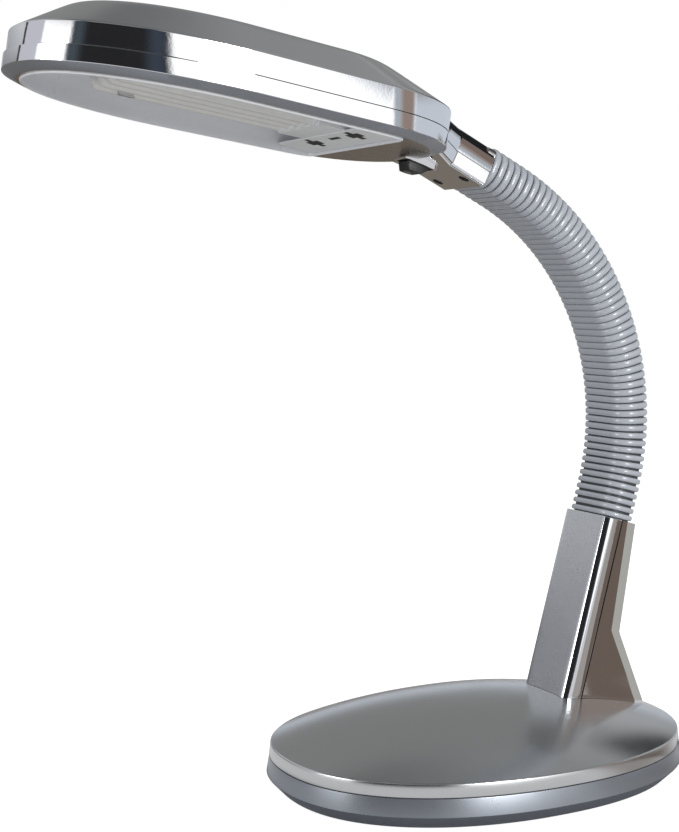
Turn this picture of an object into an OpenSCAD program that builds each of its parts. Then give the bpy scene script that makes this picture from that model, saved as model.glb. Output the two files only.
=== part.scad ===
// Gooseneck desk lamp: weighted oval base, leaning post, ribbed flexible neck and a long oval head
// with a recessed reflector and a flat four-tube bulb. Millimetres, +Z up, the head points to -Y.
// The origin is on the desk, under the middle of the base.

/* [Base] */
// Length of the base, front to back
base_length = 264; // [240:1:300]
// Width of the base
base_width = 197; // [184:1:214]
// How much wider the base is at the back, as a share
base_egg = 0.03; // [0:0.01:0.05]
// Roundness of the base outline, 2 is an ellipse
base_round = 2.2; // [2:0.1:2.8]
// Height of the rim of the base cover above the desk
rim_h = 27.6; // [26:0.2:30]
// Height of the seam between cover and tray
seam_h = 19.4; // [18:0.2:21]
// Height of the crease round the tray
crease_h = 9.2; // [8:0.2:11]
// How far the tray swells out at the crease
tray_swell = 2.4; // [1.2:0.1:3]
// How far the foot of the tray draws in
foot_inset = 5.5; // [4:0.5:8]
// Rise of the crowned cover above its rim
dome_h = 20.4; // [18:0.2:22]
// Crown shape, larger is flatter on top
dome_power = 2.2; // [2:0.1:3]
// Wall of the base cover and tray
base_wall = 2.4; // [1.8:0.1:3]
// Length of the cast weight
weight_length = 190; // [160:1:196]
// Width of the cast weight
weight_width = 126; // [110:1:130]
// Thickness of the cast weight
weight_thick = 10; // [7:0.5:12]
// Thickness of the pad under the base
pad_thick = 1.2; // [1:0.1:2]
// Height of the electronic ballast
ballast_height = 15; // [12:0.5:18]

/* [Cord inlet] */
// Radius of the hole through the cord gland
cord_r = 3.6; // [3:0.1:4.2]
// Length of the gland
gland_length = 14; // [11:0.5:18]
// Place of the gland round the back of the base, degrees from the side
gland_at = 62; // [52:1:72]

/* [Post] */
// Lean of the post towards the back, degrees
post_lean = 15.6; // [13:0.1:18]
// Length of the post along its front face
post_length = 116.7; // [108:0.1:126]
// Distance of the post's front face from the back of the base
post_setback = 80.3; // [78:0.1:86]
// Depth of the front cover
post_front_depth = 12.9; // [12:0.1:14.5]
// Bevel on the front corners
post_bevel = 3.5; // [2.5:0.1:4.5]
// Bevel on the back corners of the rear cover
fin_bevel = 5; // [4:0.1:5.6]
// Depth behind the front face of the kink of the rear cover
kink_depth = 33.2; // [31:0.1:36]
// Height of the kink along the post
kink_height = 47; // [43:0.5:52]
// Depth behind the front face of the heel of the rear cover
heel_depth = 72; // [66:0.5:74]
// Wall of the post covers
post_wall = 2.2; // [1.8:0.1:2.8]
// Outer radius of the steel tube in the post
tube_r = 8; // [7:0.1:8.6]

/* [Neck] */
// Width of the neck over its ribs
neck_width = 45.2; // [43:0.2:48]
// Depth of the neck over its ribs
neck_depth = 25.7; // [25:0.1:28]
// Corner radius of the neck's section
neck_corner = 11; // [9:0.2:12]
// Length of the neck
neck_length = 265.5; // [256:0.5:276]
// Straight run at each end of the neck
neck_straight = 20; // [20:1:25]
// Angle the neck turns through at rest, degrees
neck_turn = 79.2; // [74:0.1:82]
// Ribs on each stretch of sleeve
ribs_per_stretch = 8; // [6:1:10]
// Height of a rib
rib_depth = 1.7; // [1:0.1:2.2]
// Wall of the sleeve under its grooves
sleeve_wall = 1.6; // [1.2:0.1:2]
// Radius of the core's ball joints
ball_r = 6.2; // [5.8:0.1:6.6]
// Wall of the core's sockets
socket_wall = 1.8; // [1.5:0.1:2]
// Radius of the wire way through the core
wire_r = 2.4; // [1.8:0.1:3]

/* [Head] */
// Reach of the head in front of the neck's line
head_reach = 264.2; // [256:0.2:272]
// Distance from the neck's line to the back of the head
head_gap = 9.2; // [7:0.2:11]
// Half of the head's width at the front
head_front_half = 75.2; // [72:0.2:80]
// Half of the head's width at the back
head_rear_half = 72; // [68:0.5:76]
// Length of the rounded front of the head
front_bow = 110; // [100:1:124]
// Length of the rounded back of the head
rear_bow = 68; // [60:1:76]
// Tilt of the head against the collar, degrees
head_tilt = 17.7; // [16:0.1:19]
// Height of the upper band
band_upper = 12; // [11:0.1:14]
// Height of the lower band
band_lower = 8.6; // [8:0.1:10]
// Drop of the bezel from the band to the opening
bezel_drop = 3; // [2.4:0.1:3.8]
// Slope of the bezel inwards
bezel_inset = 8.4; // [7.4:0.1:9.4]
// Width of the lip left round the opening
lip_width = 3.3; // [2.8:0.1:4.2]
// Height of the crown above the upper band
crown_h = 25; // [22:0.5:28]
// Crown shape, larger is flatter on top
crown_power = 3; // [2.6:0.1:3.4]
// Wall of the head shells
head_wall = 2.4; // [2:0.1:3]
// Distance from the neck's line to the back edge of the opening
open_rear = 52.3; // [50:0.1:55]

/* [Collar] */
// Distance from the end of the neck to where the collar's line meets the seam of the head
collar_reach = 29.9; // [28:0.1:32]
// Wall of the collar
collar_wall = 2.5; // [2:0.1:3]
// Corner radius of the collar's section
collar_corner = 6; // [4:0.2:8]
// Spacing of the two collar screws
collar_screw_gap = 29; // [27:0.2:30]

/* [Lamp] */
// Radius of a bulb tube
bulb_tube_r = 5.5; // [4.5:0.1:5.8]
// Length of the bulb tubes
bulb_tube_length = 118; // [110:1:124]
// Spacing of the bulb tubes
bulb_pitch = 13; // [12.6:0.1:13.8]
// Length of the bulb's base
bulb_base_length = 24; // [20:0.5:26]
// Length of the lamp holder
holder_length = 13; // [11:0.5:15]
// Depth of the reflector inside the opening
reflector_depth = 17; // [16:0.5:18]

/* [Switch] */
// Length of the rocker
rocker_length = 21; // [19:0.5:23]
// Width of the rocker
rocker_width = 11.6; // [10:0.2:13]
// Tilt of the rocker to either side, degrees
rocker_tilt = 12; // [9:0.5:13]

/* [Hidden] */
$fn = 48;

fit = 0.3;
touch = 0.1;
over = 1;
joint_count = 7;
chrome = [0.78, 0.79, 0.8];
satin = [0.62, 0.63, 0.64];
slate = [0.42, 0.45, 0.49];
sleeve_grey = [0.6, 0.63, 0.66];

// Base: outline, crown and the heights that the pieces inside stand on
half_l = base_length / 2;
half_w = base_width / 2;
pad_seat = 0.4;
pad_share = 0.72;
tray_foot_z = pad_thick - pad_seat;
floor_z = tray_foot_z + base_wall;
weight_top = floor_z + weight_thick;
quarter_steps = 16;

function power(x, e) = sign(x) * pow(abs(x), e);
function rim_pt(t, inset) = [(half_w - inset) * power(cos(t), 2 / base_round) * (1 + base_egg * sin(t)),
    (half_l - inset) * power(sin(t), 2 / base_round)];
function base_oval(inset) = [for (i = [0:4 * quarter_steps - 1]) rim_pt(i * 90 / quarter_steps - 90, inset)];
function lift(outline, z) = [for (p = outline) [p[0], p[1], z]];
function shrink(outline, k, middle) = [for (p = outline) middle + k * (p - middle)];
function dome_z(y) = rim_h + dome_h * (1 - pow(abs(y) / half_l, dome_power));
dome_steps = [for (a = [15:15:75]) cos(a)];
dome_end = 0.1;
function dome_rings(drop) = [for (k = concat(dome_steps, [dome_end]))
    lift(shrink(base_oval(0), k, [0, 0]), rim_h - drop + dome_h * (1 - pow(k, dome_power)))];

// A solid through a stack of rings, with flat ends or closed on itself
module loft(rings, closed = false) {
    n = len(rings[0]);
    m = len(rings);
    last = closed ? m - 1 : m - 2;
    sides = [for (i = [0:last], j = [0:n - 1])
        let (a = i * n + j, b = ((i + 1) % m) * n + j)
        let (c = ((i + 1) % m) * n + (j + 1) % n, d = i * n + (j + 1) % n)
        each [[a, b, c], [a, c, d]]];
    ends = closed ? [] : [for (j = [1:n - 2]) each [[0, j, j + 1],
        [(m - 1) * n, (m - 1) * n + j + 1, (m - 1) * n + j]]];
    polyhedron([for (r = rings) each r], concat(sides, ends), convexity = 6);
}

// The space under the crowned cover, raised by a gap
module dome_block(raise) {
    loft(concat([lift(base_oval(0), -over)], [lift(base_oval(0), rim_h + raise)], dome_rings(-raise)));
}

cover_gap = 0.4;
rim_draft = 0.8;
screw_r = 1.7;
screw_head_r = 3.6;
screw_head_h = 1.5;
boss_r = 4.5;
screw_margin = 13;
base_screw_x = weight_width / 2 + screw_margin;
base_screw_y = 30;
base_screw_places = [for (sx = [-1, 1], sy = [-1, 1]) [sx * base_screw_x, sy * base_screw_y]];
base_screw_length = 14;

module at_base_screws() {
    for (p = base_screw_places) translate([p[0], p[1], 0]) children();
}

module base_top_cover() {
    color(satin) difference() {
        union() {
            loft(concat(
                [for (i = [len(dome_steps):-1:0])
                    let (k = concat(dome_steps, [dome_end])[i])
                    lift(shrink(base_oval(base_wall), k, [0, 0]),
                        rim_h - base_wall + dome_h * (1 - pow(k, dome_power)))],
                [lift(base_oval(base_wall), rim_h - base_wall),
                 lift(base_oval(base_wall - rim_draft), seam_h + cover_gap),
                 lift(base_oval(-rim_draft), seam_h + cover_gap), lift(base_oval(0), rim_h)],
                dome_rings(0)));
            intersection() {
                at_base_screws() translate([0, 0, floor_z + touch]) cylinder(r = boss_r, h = rim_h + dome_h);
                dome_block(-base_wall / 2);
            }
        }
        at_base_screws() translate([0, 0, floor_z]) cylinder(r = screw_r + touch, h = base_screw_length);
        at_post() translate([0, post_axis, -post_length / 2]) cylinder(r = tube_r + fit, h = post_length);
    }
}

module base_tray() {
    color(slate) difference() {
        loft([lift(base_oval(foot_inset), tray_foot_z), lift(base_oval(-tray_swell), crease_h),
            lift(base_oval(-rim_draft), seam_h), lift(base_oval(base_wall - rim_draft), seam_h),
            lift(base_oval(base_wall - tray_swell), crease_h),
            lift(base_oval(foot_inset + base_wall), floor_z)]);
        at_base_screws() translate([0, 0, tray_foot_z - over])
            cylinder(r = screw_head_r + fit, h = screw_head_h + touch + over);
        at_base_screws() cylinder(r = screw_r + fit, h = floor_z + over);
        translate([0, 0, tray_foot_z - over]) linear_extrude(pad_seat + over)
            polygon(shrink(base_oval(0), pad_share, [0, 0]));
        at_gland() translate([0, 0, -gland_length]) cylinder(r = gland_r + touch, h = 2 * gland_length);
    }
}

module base_weight() {
    color("dimgray") translate([0, 0, floor_z]) linear_extrude(weight_thick)
        polygon([for (p = base_oval(0))
            [p[0] * weight_width / base_width, p[1] * weight_length / base_length]]);
}

// The pad sits in a shallow recess and is the only face that meets the desk
module foot_pad() {
    color([0.12, 0.12, 0.13]) linear_extrude(pad_thick - touch / 2)
        polygon(shrink(base_oval(fit), pad_share, [0, 0]));
}

module base_screws() {
    color("gray") at_base_screws() {
        translate([0, 0, tray_foot_z + touch / 2]) cylinder(r = screw_head_r, h = screw_head_h);
        translate([0, 0, tray_foot_z + screw_head_h]) cylinder(r = screw_r, h = base_screw_length - over);
    }
}

// Cord gland through the wall of the tray, square to it
gland_spot = rim_pt(gland_at, 0);
gland_slope = rim_pt(gland_at + 1, 0) - rim_pt(gland_at - 1, 0);
gland_turn = atan2(-gland_slope[0], gland_slope[1]);
gland_wall = 1.6;
gland_lip = 3;
gland_r = cord_r + gland_wall;
gland_flange_r = cord_r + gland_lip;
gland_flange = 2.6;
gland_z = floor_z + gland_flange_r + fit;
gland_face = tray_swell + 2 * fit;

module at_gland() {
    translate([gland_spot[0], gland_spot[1], gland_z]) rotate([0, 90, gland_turn]) children();
}

module cord_gland() {
    color([0.08, 0.08, 0.09]) at_gland() difference() {
        union() {
            translate([0, 0, gland_face]) cylinder(r = gland_flange_r, h = gland_flange);
            translate([0, 0, gland_face + gland_flange - gland_length])
                cylinder(r = gland_r, h = gland_length);
        }
        translate([0, 0, -gland_length]) cylinder(r = cord_r, h = 2 * gland_length);
    }
}

clamp_width = 20;
clamp_depth = 9;
clamp_height = 9;
module cord_clamp() {
    color("dimgray") translate([gland_spot[0], gland_spot[1], floor_z]) rotate([0, 0, gland_turn])
        translate([tray_swell + gland_flange - gland_length - clamp_depth, 0, 0]) difference() {
            translate([-clamp_depth / 2, -clamp_width / 2, 0]) cube([clamp_depth, clamp_width, clamp_height]);
            translate([0, 0, gland_z - floor_z]) rotate([0, 90, 0])
                cylinder(r = cord_r, h = 2 * clamp_depth, center = true);
        }
}

ballast_length = 92;
ballast_width = 46;
ballast_y = -28;
module ballast_box() {
    color("ivory") translate([-ballast_width / 2, ballast_y - ballast_length / 2, weight_top])
        cube([ballast_width, ballast_length, ballast_height]);
}

// Post: its frame stands on the crown, with Z along the front face and Y through the post
post_y = half_l - post_setback;
post_z = dome_z(post_y);
post_depth = neck_depth;
post_axis = post_depth / 2;
post_width = neck_width;

module at_post() {
    translate([0, post_y, post_z]) rotate([-post_lean, 0, 0]) children();
}

module front_outline(inset, back) {
    b = post_bevel - inset * tan(22.5);
    w = post_width / 2 - inset;
    polygon([[-w, back], [-w, inset + b], [-w + b, inset], [w - b, inset], [w, inset + b], [w, back]]);
}

post_skirt = 40;
plug_height = 8;

// What the foot of the post is cut off with: the crown and all below its rim
module base_space() {
    dome_block(touch);
    translate([-base_width, -base_length, rim_h - base_length])
        cube([2 * base_width, 2 * base_length, base_length]);
}

module post_front_cover() {
    color(chrome) difference() {
        at_post() translate([0, 0, -post_skirt]) linear_extrude(post_skirt + post_length) difference() {
            front_outline(0, post_front_depth);
            front_outline(post_wall, post_front_depth + over);
        }
        base_space();
    }
}

// Rear cover: a deep fin at the foot that narrows at a kink, with bevelled back edges
fin_gap = 0.3;
fin_step = 2;
fin_width = post_width - fin_step;
fin_top_share = 0.6;
heel_run = heel_depth + (heel_depth - kink_depth) * post_skirt / kink_height;
function fin_profile(wall, bevel) =
    let (start = wall > 0 ? post_front_depth - over : post_front_depth + fin_gap)
    let (top = wall > 0 ? post_length + over : post_length)
    [[kink_depth - wall - bevel, kink_height],
     [post_depth - wall - bevel * fin_top_share, top], [start, top], [start, -post_skirt],
     [heel_run - wall - bevel, -post_skirt], [heel_depth - wall - bevel, 0]];
function fin_ring(x, wall, bevel) = [for (p = fin_profile(wall, bevel)) [x, p[0], p[1]]];
module fin_block(wall) {
    x = fin_width / 2 - wall;
    b = fin_bevel - wall;
    loft([fin_ring(-x, wall, b), fin_ring(-x + b, wall, 0), fin_ring(x - b, wall, 0), fin_ring(x, wall, b)]);
}

module post_rear_cover() {
    color([0.55, 0.5, 0.46]) difference() {
        at_post() difference() {
            fin_block(0);
            fin_block(post_wall);
        }
        base_space();
    }
}

module post_tube() {
    color("silver") difference() {
        at_post() translate([0, post_axis, -post_length / 2]) difference() {
            cylinder(r = tube_r, h = 1.5 * post_length - plug_height - touch);
            translate([0, 0, -over]) cylinder(r = tube_r - 1.5, h = 2 * post_length);
        }
        translate([-base_width, -base_length, weight_top + touch - base_length])
            cube([2 * base_width, 2 * base_length, base_length]);
    }
}

// Neck: straight, then one arc, then straight, in the plane X = 0
neck_arc = neck_length - 2 * neck_straight;
neck_radius = neck_arc / (neck_turn * PI / 180);
head_in = neck_turn - post_lean;
stretch = neck_length / joint_count;
neck_start = [post_y + post_axis * cos(post_lean) + post_length * sin(post_lean),
    post_z - post_axis * sin(post_lean) + post_length * cos(post_lean)];

function clampf(v, lo, hi) = max(lo, min(hi, v));
function heading(s) = -post_lean + neck_turn * clampf((s - neck_straight) / neck_arc, 0, 1);
function along(a) = [-sin(a), cos(a)];
function arc_step(a) = neck_radius * [cos(a) - cos(post_lean), sin(a) + sin(post_lean)];
function neck_point(s) = neck_start + min(s, neck_straight) * along(-post_lean) + arc_step(heading(s))
    + max(0, s - neck_straight - neck_arc) * along(head_in);
function joint_s(j) = (j - 0.5) * stretch;
function joint_point(j) = neck_point(joint_s(j));

// Section of the neck in its own plane, X across and Y towards the outside of the bend
corner_steps = 3;
function neck_section(grow) = let (r = neck_corner + grow)
    [for (q = [0:3], i = [0:corner_steps])
        let (a = q * 90 + i * 90 / corner_steps)
        let (cx = (q == 0 || q == 3 ? 1 : -1) * (neck_width / 2 - neck_corner))
        let (cy = (q < 2 ? 1 : -1) * (neck_depth / 2 - neck_corner))
        [cx + r * cos(a), cy + r * sin(a)]];
function neck_ring(s, grow) = let (a = heading(s), p = neck_point(s))
    [for (q = neck_section(grow)) [q[0], p[0] + q[1] * cos(a), p[1] + q[1] * sin(a)]];

bore_rings = 4;
module sleeve(j) {
    start = (j - 1) * stretch + touch;
    length = stretch - 2 * touch;
    pitch = length / ribs_per_stretch;
    bore = -rib_depth - sleeve_wall;
    color(sleeve_grey) loft(concat(
        [for (i = [0:2 * ribs_per_stretch]) neck_ring(start + i * pitch / 2, i % 2 == 1 ? 0 : -rib_depth)],
        [for (i = [bore_rings:-1:0]) neck_ring(start + i * length / bore_rings, bore)]), true);
}

// Core: lengths of tube with a ball on top and a cup below, jointed where the neck bends
ball_fit = 0.2;
cup_r = ball_r + ball_fit + socket_wall;
cup_rim = 1.8;
stem_length = 6;
stem_r = 0.66 * ball_r;
core_r = ball_r;

module cup(rise) {
    difference() {
        translate([0, 0, -cup_rim]) cylinder(r = cup_r, h = cup_rim + rise);
        sphere(r = ball_r + ball_fit);
        translate([0, 0, -cup_rim - over]) cylinder(r = wire_r, h = rise + 2 * cup_rim + 2 * over);
    }
}

module ball_stem(length, drop) {
    difference() {
        union() {
            translate([0, 0, length]) sphere(r = ball_r);
            translate([0, 0, drop]) cylinder(r = stem_r, h = length - drop);
        }
        translate([0, 0, drop - over]) cylinder(r = wire_r, h = length + ball_r - drop + 2 * over);
    }
}

module at_chord(p, q) {
    translate([0, p[0], p[1]]) rotate([atan2(p[0] - q[0], q[1] - p[1]), 0, 0]) children();
}

module neck_core(j) {
    p = joint_point(j);
    q = joint_point(j + 1);
    length = norm(q - p);
    rise = ball_r + socket_wall;
    stem_from = length - ball_r - stem_length;
    color("silver") at_chord(p, q) {
        cup(rise);
        translate([0, 0, rise]) difference() {
            cylinder(r = core_r, h = stem_from - rise);
            translate([0, 0, -over]) cylinder(r = wire_r, h = length);
        }
        ball_stem(length, stem_from);
    }
}

plug_gap = 0.4;
plug_depth = post_depth - 2 * post_wall - 2 * plug_gap - fin_top_share * fin_bevel;
module lower_ferrule() {
    length = joint_s(1);
    w = fin_width / 2 - post_wall - plug_gap;
    color("dimgray") at_post() difference() {
        union() {
            translate([0, 0, post_length - plug_height])
                linear_extrude(plug_height - plug_gap) intersection() {
                    translate([-w, post_wall + plug_gap]) square([2 * w, plug_depth]);
                    front_outline(post_wall + plug_gap, post_depth);
                }
            translate([0, post_axis, post_length - plug_height / 2])
                cylinder(r = stem_r, h = length + plug_height / 2);
            translate([0, post_axis, post_length + length]) sphere(r = ball_r);
        }
        translate([0, post_axis, post_length - plug_height - over])
            cylinder(r = wire_r, h = plug_height + length + ball_r + 2 * over);
    }
}

// Collar: its frame starts at the end of the neck with Z along the neck's line and Y upwards
neck_end = neck_point(neck_length);
head_root = neck_end + collar_reach * along(head_in);
collar_run = 28;
collar_length = collar_reach + collar_run;
collar_gap = 0.2;
fairing_rise = 4;
fairing_top = band_upper + fairing_rise;
parting_box = 2 * neck_width;

module at_collar() {
    translate([0, neck_end[0], neck_end[1]]) rotate([head_in, 0, 0]) children();
}

module collar_shape(grow) {
    w = neck_width / 2 - collar_corner;
    d = neck_depth / 2 - collar_corner;
    for (sx = [-1, 1], sy = [-1, 1]) translate([sx * w, sy * d]) circle(r = collar_corner + grow);
    square([2 * w, neck_depth + 2 * grow], center = true);
    square([neck_width + 2 * grow, 2 * d], center = true);
}

// A length of the collar, cut off level where it runs on over the back of the head
module collar_bar(grow, from, to) {
    intersection() {
        at_collar() translate([0, 0, from]) linear_extrude(to - from) collar_shape(grow);
        at_head() translate([-parting_box, -parting_box, fairing_top + grow - 2 * parting_box])
            cube(2 * parting_box);
    }
}

// What lies below both the collar's middle and the seam of the head
module below_parting(gap) {
    intersection() {
        at_collar() translate([-parting_box, -gap - 2 * parting_box, -parting_box]) cube(2 * parting_box);
        at_head() translate([-parting_box, -parting_box, -gap - 2 * parting_box]) cube(2 * parting_box);
    }
}

collar_screw_z = 13.4;
collar_head_r = 2.8;
collar_boss_r = 3.6;
module at_collar_screws() {
    at_collar() for (sx = [-1, 1]) translate([sx * collar_screw_gap / 2, -neck_depth / 2, collar_screw_z])
        rotate([-90, 0, 0]) children();
}

module collar_bosses() {
    intersection() {
        at_collar_screws() cylinder(r = collar_boss_r, h = neck_depth);
        collar_bar(-collar_wall / 2, 0, collar_length);
    }
}

module upper_ferrule() {
    length = neck_length - joint_s(joint_count);
    rise = ball_r + socket_wall;
    color("dimgray") at_collar() difference() {
        union() {
            translate([0, 0, plug_gap])
                linear_extrude(plug_height - plug_gap) collar_shape(-collar_wall - fit);
            translate([0, 0, -length - cup_rim]) cylinder(r = cup_r, h = cup_rim + rise);
            translate([0, 0, -length]) cylinder(r = core_r, h = length + plug_height / 2);
        }
        translate([0, 0, -length]) sphere(r = ball_r + ball_fit);
        translate([0, 0, -length - cup_rim - over])
            cylinder(r = wire_r, h = length + cup_rim + plug_height + 2 * over);
    }
}

// Head: its frame has Y to the back and Z up from the seam plane
front_round = 2.2;
rear_round = 2.2;
crown_share = 0.625;
head_middle = [0, -crown_share * head_reach];
seam_gap = 0.2;
lip_z = -band_lower - bezel_drop;
open_inset = bezel_inset + lip_width;

module at_head() {
    translate([0, head_root[0], head_root[1]]) rotate([head_in - 90 + head_tilt, 0, 0]) children();
}

function front_pt(i, inset) = let (t = i * 90 / quarter_steps)
    [(head_front_half - inset) * power(sin(t), 2 / front_round),
     front_bow - head_reach - (front_bow - inset) * power(cos(t), 2 / front_round)];
function rear_pt(i, inset) = let (t = i * 90 / quarter_steps)
    [(head_rear_half - inset) * power(cos(t), 2 / rear_round),
     -head_gap - rear_bow + (rear_bow - inset) * power(sin(t), 2 / rear_round)];
function flip(p) = [-p[0], p[1]];
function head_oval(inset) = concat(
    [for (i = [0:quarter_steps]) front_pt(i, inset)],
    [for (i = [0:quarter_steps]) rear_pt(i, inset)],
    [for (i = [quarter_steps - 1:-1:0]) flip(rear_pt(i, inset))],
    [for (i = [quarter_steps:-1:1]) flip(front_pt(i, inset))]);
// The opening follows the head's outline and ends in a straight back edge, which stands more upright
rear_share = 0.25;
function open_oval(extra) = [for (p = head_oval(open_inset + extra))
    [p[0], min(p[1], -open_rear - rear_share * extra)]];

crown_steps = [for (a = [15:15:75]) cos(a)];
crown_end = 0.1;
function crown_rings(inset, drop) = [for (k = concat(crown_steps, [crown_end]))
    lift(shrink(head_oval(inset), k, head_middle), band_upper - drop + crown_h * (1 - pow(k, crown_power)))];

module head_upper_block() {
    at_head() loft(concat([lift(head_oval(0), seam_gap), lift(head_oval(0), band_upper)], crown_rings(0, 0)));
}

module head_upper_cavity() {
    inner = head_oval(head_wall);
    at_head() loft(concat([lift(inner, -over), lift(inner, band_upper - head_wall)],
        crown_rings(head_wall, head_wall)));
}

module head_lower_block() {
    at_head() loft([lift(head_oval(bezel_inset), lip_z), lift(head_oval(0), -band_lower),
        lift(head_oval(0), 0)]);
}

module head_lower_cavity() {
    at_head() loft([lift(head_oval(bezel_inset + head_wall), lip_z + head_wall),
        lift(head_oval(head_wall), -band_lower + head_wall), lift(head_oval(head_wall), over)]);
}

module head_spaces() {
    head_upper_cavity();
    head_lower_cavity();
    collar_bar(-collar_wall, -over, collar_length + over);
}

module head_top_shell() {
    color(chrome) difference() {
        union() {
            head_upper_block();
            difference() {
                collar_bar(0, collar_gap, collar_length);
                below_parting(-touch);
            }
        }
        difference() {
            head_spaces();
            difference() {
                collar_bosses();
                below_parting(-touch);
            }
        }
        at_collar_screws() cylinder(r = screw_r + touch, h = neck_depth - collar_wall);
    }
}

module head_lower_shell() {
    color(chrome) difference() {
        union() {
            head_lower_block();
            intersection() {
                collar_bar(0, collar_gap, collar_length);
                below_parting(touch);
            }
            at_switch() fairing_box();
        }
        difference() {
            head_spaces();
            intersection() {
                collar_bosses();
                below_parting(touch);
            }
        }
        at_head() translate([0, 0, lip_z - over]) linear_extrude(head_wall + 2 * over) polygon(open_oval(0));
        at_switch() cutout_box();
        at_collar_screws() translate([0, 0, -over]) {
            cylinder(r = screw_r + fit, h = neck_depth);
            cylinder(r = collar_head_r + fit, h = over + screw_head_h + touch);
        }
    }
}

module collar_screws() {
    color("silver") at_collar_screws() {
        translate([0, 0, touch / 2]) cylinder(r = collar_head_r, h = screw_head_h);
        translate([0, 0, screw_head_h])
            cylinder(r = screw_r, h = neck_depth - collar_wall - screw_head_h - over);
    }
}

// Reflector: a tray with a flange that lies on the lip, open downwards
reflector_skin = 1.2;
flange_width = 2;
ceiling_inset = 14;
flange_rise = max(0, flange_width + head_wall - lip_width) * bezel_drop / bezel_inset;
reflector_z = lip_z + head_wall + flange_rise + touch;
ceiling_z = lip_z + reflector_depth;
module reflector() {
    color("white") at_head() loft([
        lift(open_oval(ceiling_inset + reflector_skin), ceiling_z),
        lift(open_oval(reflector_skin), reflector_z), lift(open_oval(-flange_width), reflector_z),
        lift(open_oval(-flange_width), reflector_z + reflector_skin),
        lift(open_oval(0), reflector_z + reflector_skin),
        lift(open_oval(ceiling_inset), ceiling_z + reflector_skin)]);
}

// Lamp holder, bulb and their cover plate, from the back of the reflector forwards
holder_back = open_rear + rear_share * (ceiling_inset + reflector_skin) + fit;
bulb_back = holder_back + holder_length + fit;
tubes_back = bulb_back + bulb_base_length;
cap_side = 2;
bulb_width = 3 * bulb_pitch + 2 * bulb_tube_r + cap_side;
ceiling_gap = 2.4;
bulb_z = ceiling_z - bulb_tube_r - ceiling_gap;
bulb_low = bulb_tube_r + fit;
cap_rise = 1.4;
bulb_high = bulb_tube_r + cap_rise;
holder_rim = 2;
pin_r = 1.2;
pin_rest = 3;
pin_length = holder_length - pin_rest;
pin_places = [-1.5, -0.5, 0.5, 1.5] * bulb_pitch;

module lamp_block(back, length, half, top) {
    at_head() translate([-half, -back - length, bulb_z - bulb_low])
        cube([2 * half, length, top - bulb_z + bulb_low]);
}

module at_pins() {
    at_head() for (x = pin_places) translate([x, -bulb_back, bulb_z]) rotate([-90, 0, 0]) children();
}

module lamp_holder() {
    color("whitesmoke") difference() {
        lamp_block(holder_back, holder_length, bulb_width / 2 + holder_rim, ceiling_z - touch);
        at_pins() translate([0, 0, -over]) cylinder(r = pin_r + touch, h = over + pin_length + fit);
    }
}

module bulb_base() {
    color("whitesmoke") lamp_block(bulb_back, bulb_base_length, bulb_width / 2, bulb_z + bulb_high);
}

module bulb_pins() {
    color("gold") at_pins() cylinder(r = pin_r, h = pin_length);
}

module bulb_tubes() {
    straight = bulb_tube_length - bulb_tube_r;
    color("snow") at_head() {
        for (x = pin_places) translate([x, -tubes_back, bulb_z]) rotate([90, 0, 0]) {
            cylinder(r = bulb_tube_r, h = straight);
            translate([0, 0, straight]) sphere(r = bulb_tube_r);
        }
        for (x = [pin_places[0], pin_places[2]]) translate([x, -tubes_back - straight + bulb_tube_r, bulb_z])
            rotate([0, 90, 0]) cylinder(r = bulb_tube_r / 2, h = bulb_pitch);
        translate([pin_places[1], -tubes_back - bulb_tube_r, bulb_z]) rotate([0, 90, 0])
            cylinder(r = bulb_tube_r / 2, h = bulb_pitch);
    }
}

// Spring clip: a strap on the ceiling with an arm in each gap beside the two middle tubes
clip_width = 9;
clip_steel = 0.9;
clip_place = 0.84;
clip_toe = 3;
module bulb_clip() {
    top = ceiling_z - touch;
    foot = bulb_z - bulb_tube_r - clip_steel - fit;
    color("silver") at_head() translate([0, -tubes_back - clip_place * bulb_tube_length, 0]) {
        translate([-bulb_pitch - clip_steel / 2, -clip_width / 2, top - clip_steel])
            cube([2 * bulb_pitch + clip_steel, clip_width, clip_steel]);
        for (sx = [-1, 1]) translate([sx * bulb_pitch - clip_steel / 2, -clip_width / 2, foot])
            cube([clip_steel, clip_width, top - foot]);
        for (sx = [-1, 1]) translate([sx * (bulb_pitch - clip_toe / 2) - clip_toe / 2, -clip_width / 2, foot])
            cube([clip_toe, clip_width, clip_steel]);
    }
}

// Cover plate over the lamp holder, with two crosses and a slot cut through it
plate_thick = 1.2;
plate_lift = 1.8;
plate_z = lip_z + plate_lift;
plate_past = 6;
plate_front = tubes_back + plate_past;
plate_rise = (plate_z + plate_thick - reflector_z) / (ceiling_z - reflector_z);
plate_slope = reflector_skin + ceiling_inset * plate_rise + fit;
cross_long = 17;
cross_bar = 6;
cross_share = 0.75;
cross_x = 22.5;
cross_back = 19.5;
cross_y = open_rear + cross_back;
slot = [9, 3];
dot_r = 3;
module plate_cross() {
    square([cross_long, cross_bar], center = true);
    square([cross_bar, cross_long * cross_share], center = true);
}

module socket_cover() {
    color("white") at_head() translate([0, 0, plate_z]) linear_extrude(plate_thick) difference() {
        intersection() {
            polygon(open_oval(plate_slope));
            translate([-head_front_half, -plate_front]) square([2 * head_front_half, plate_front]);
        }
        for (sx = [-1, 1]) translate([sx * cross_x, -cross_y]) plate_cross();
        translate([slot[1], -cross_y - slot[1]]) square(slot);
        translate([head_front_half / 2, -plate_front + 2 * dot_r]) circle(r = dot_r);
    }
}

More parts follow.
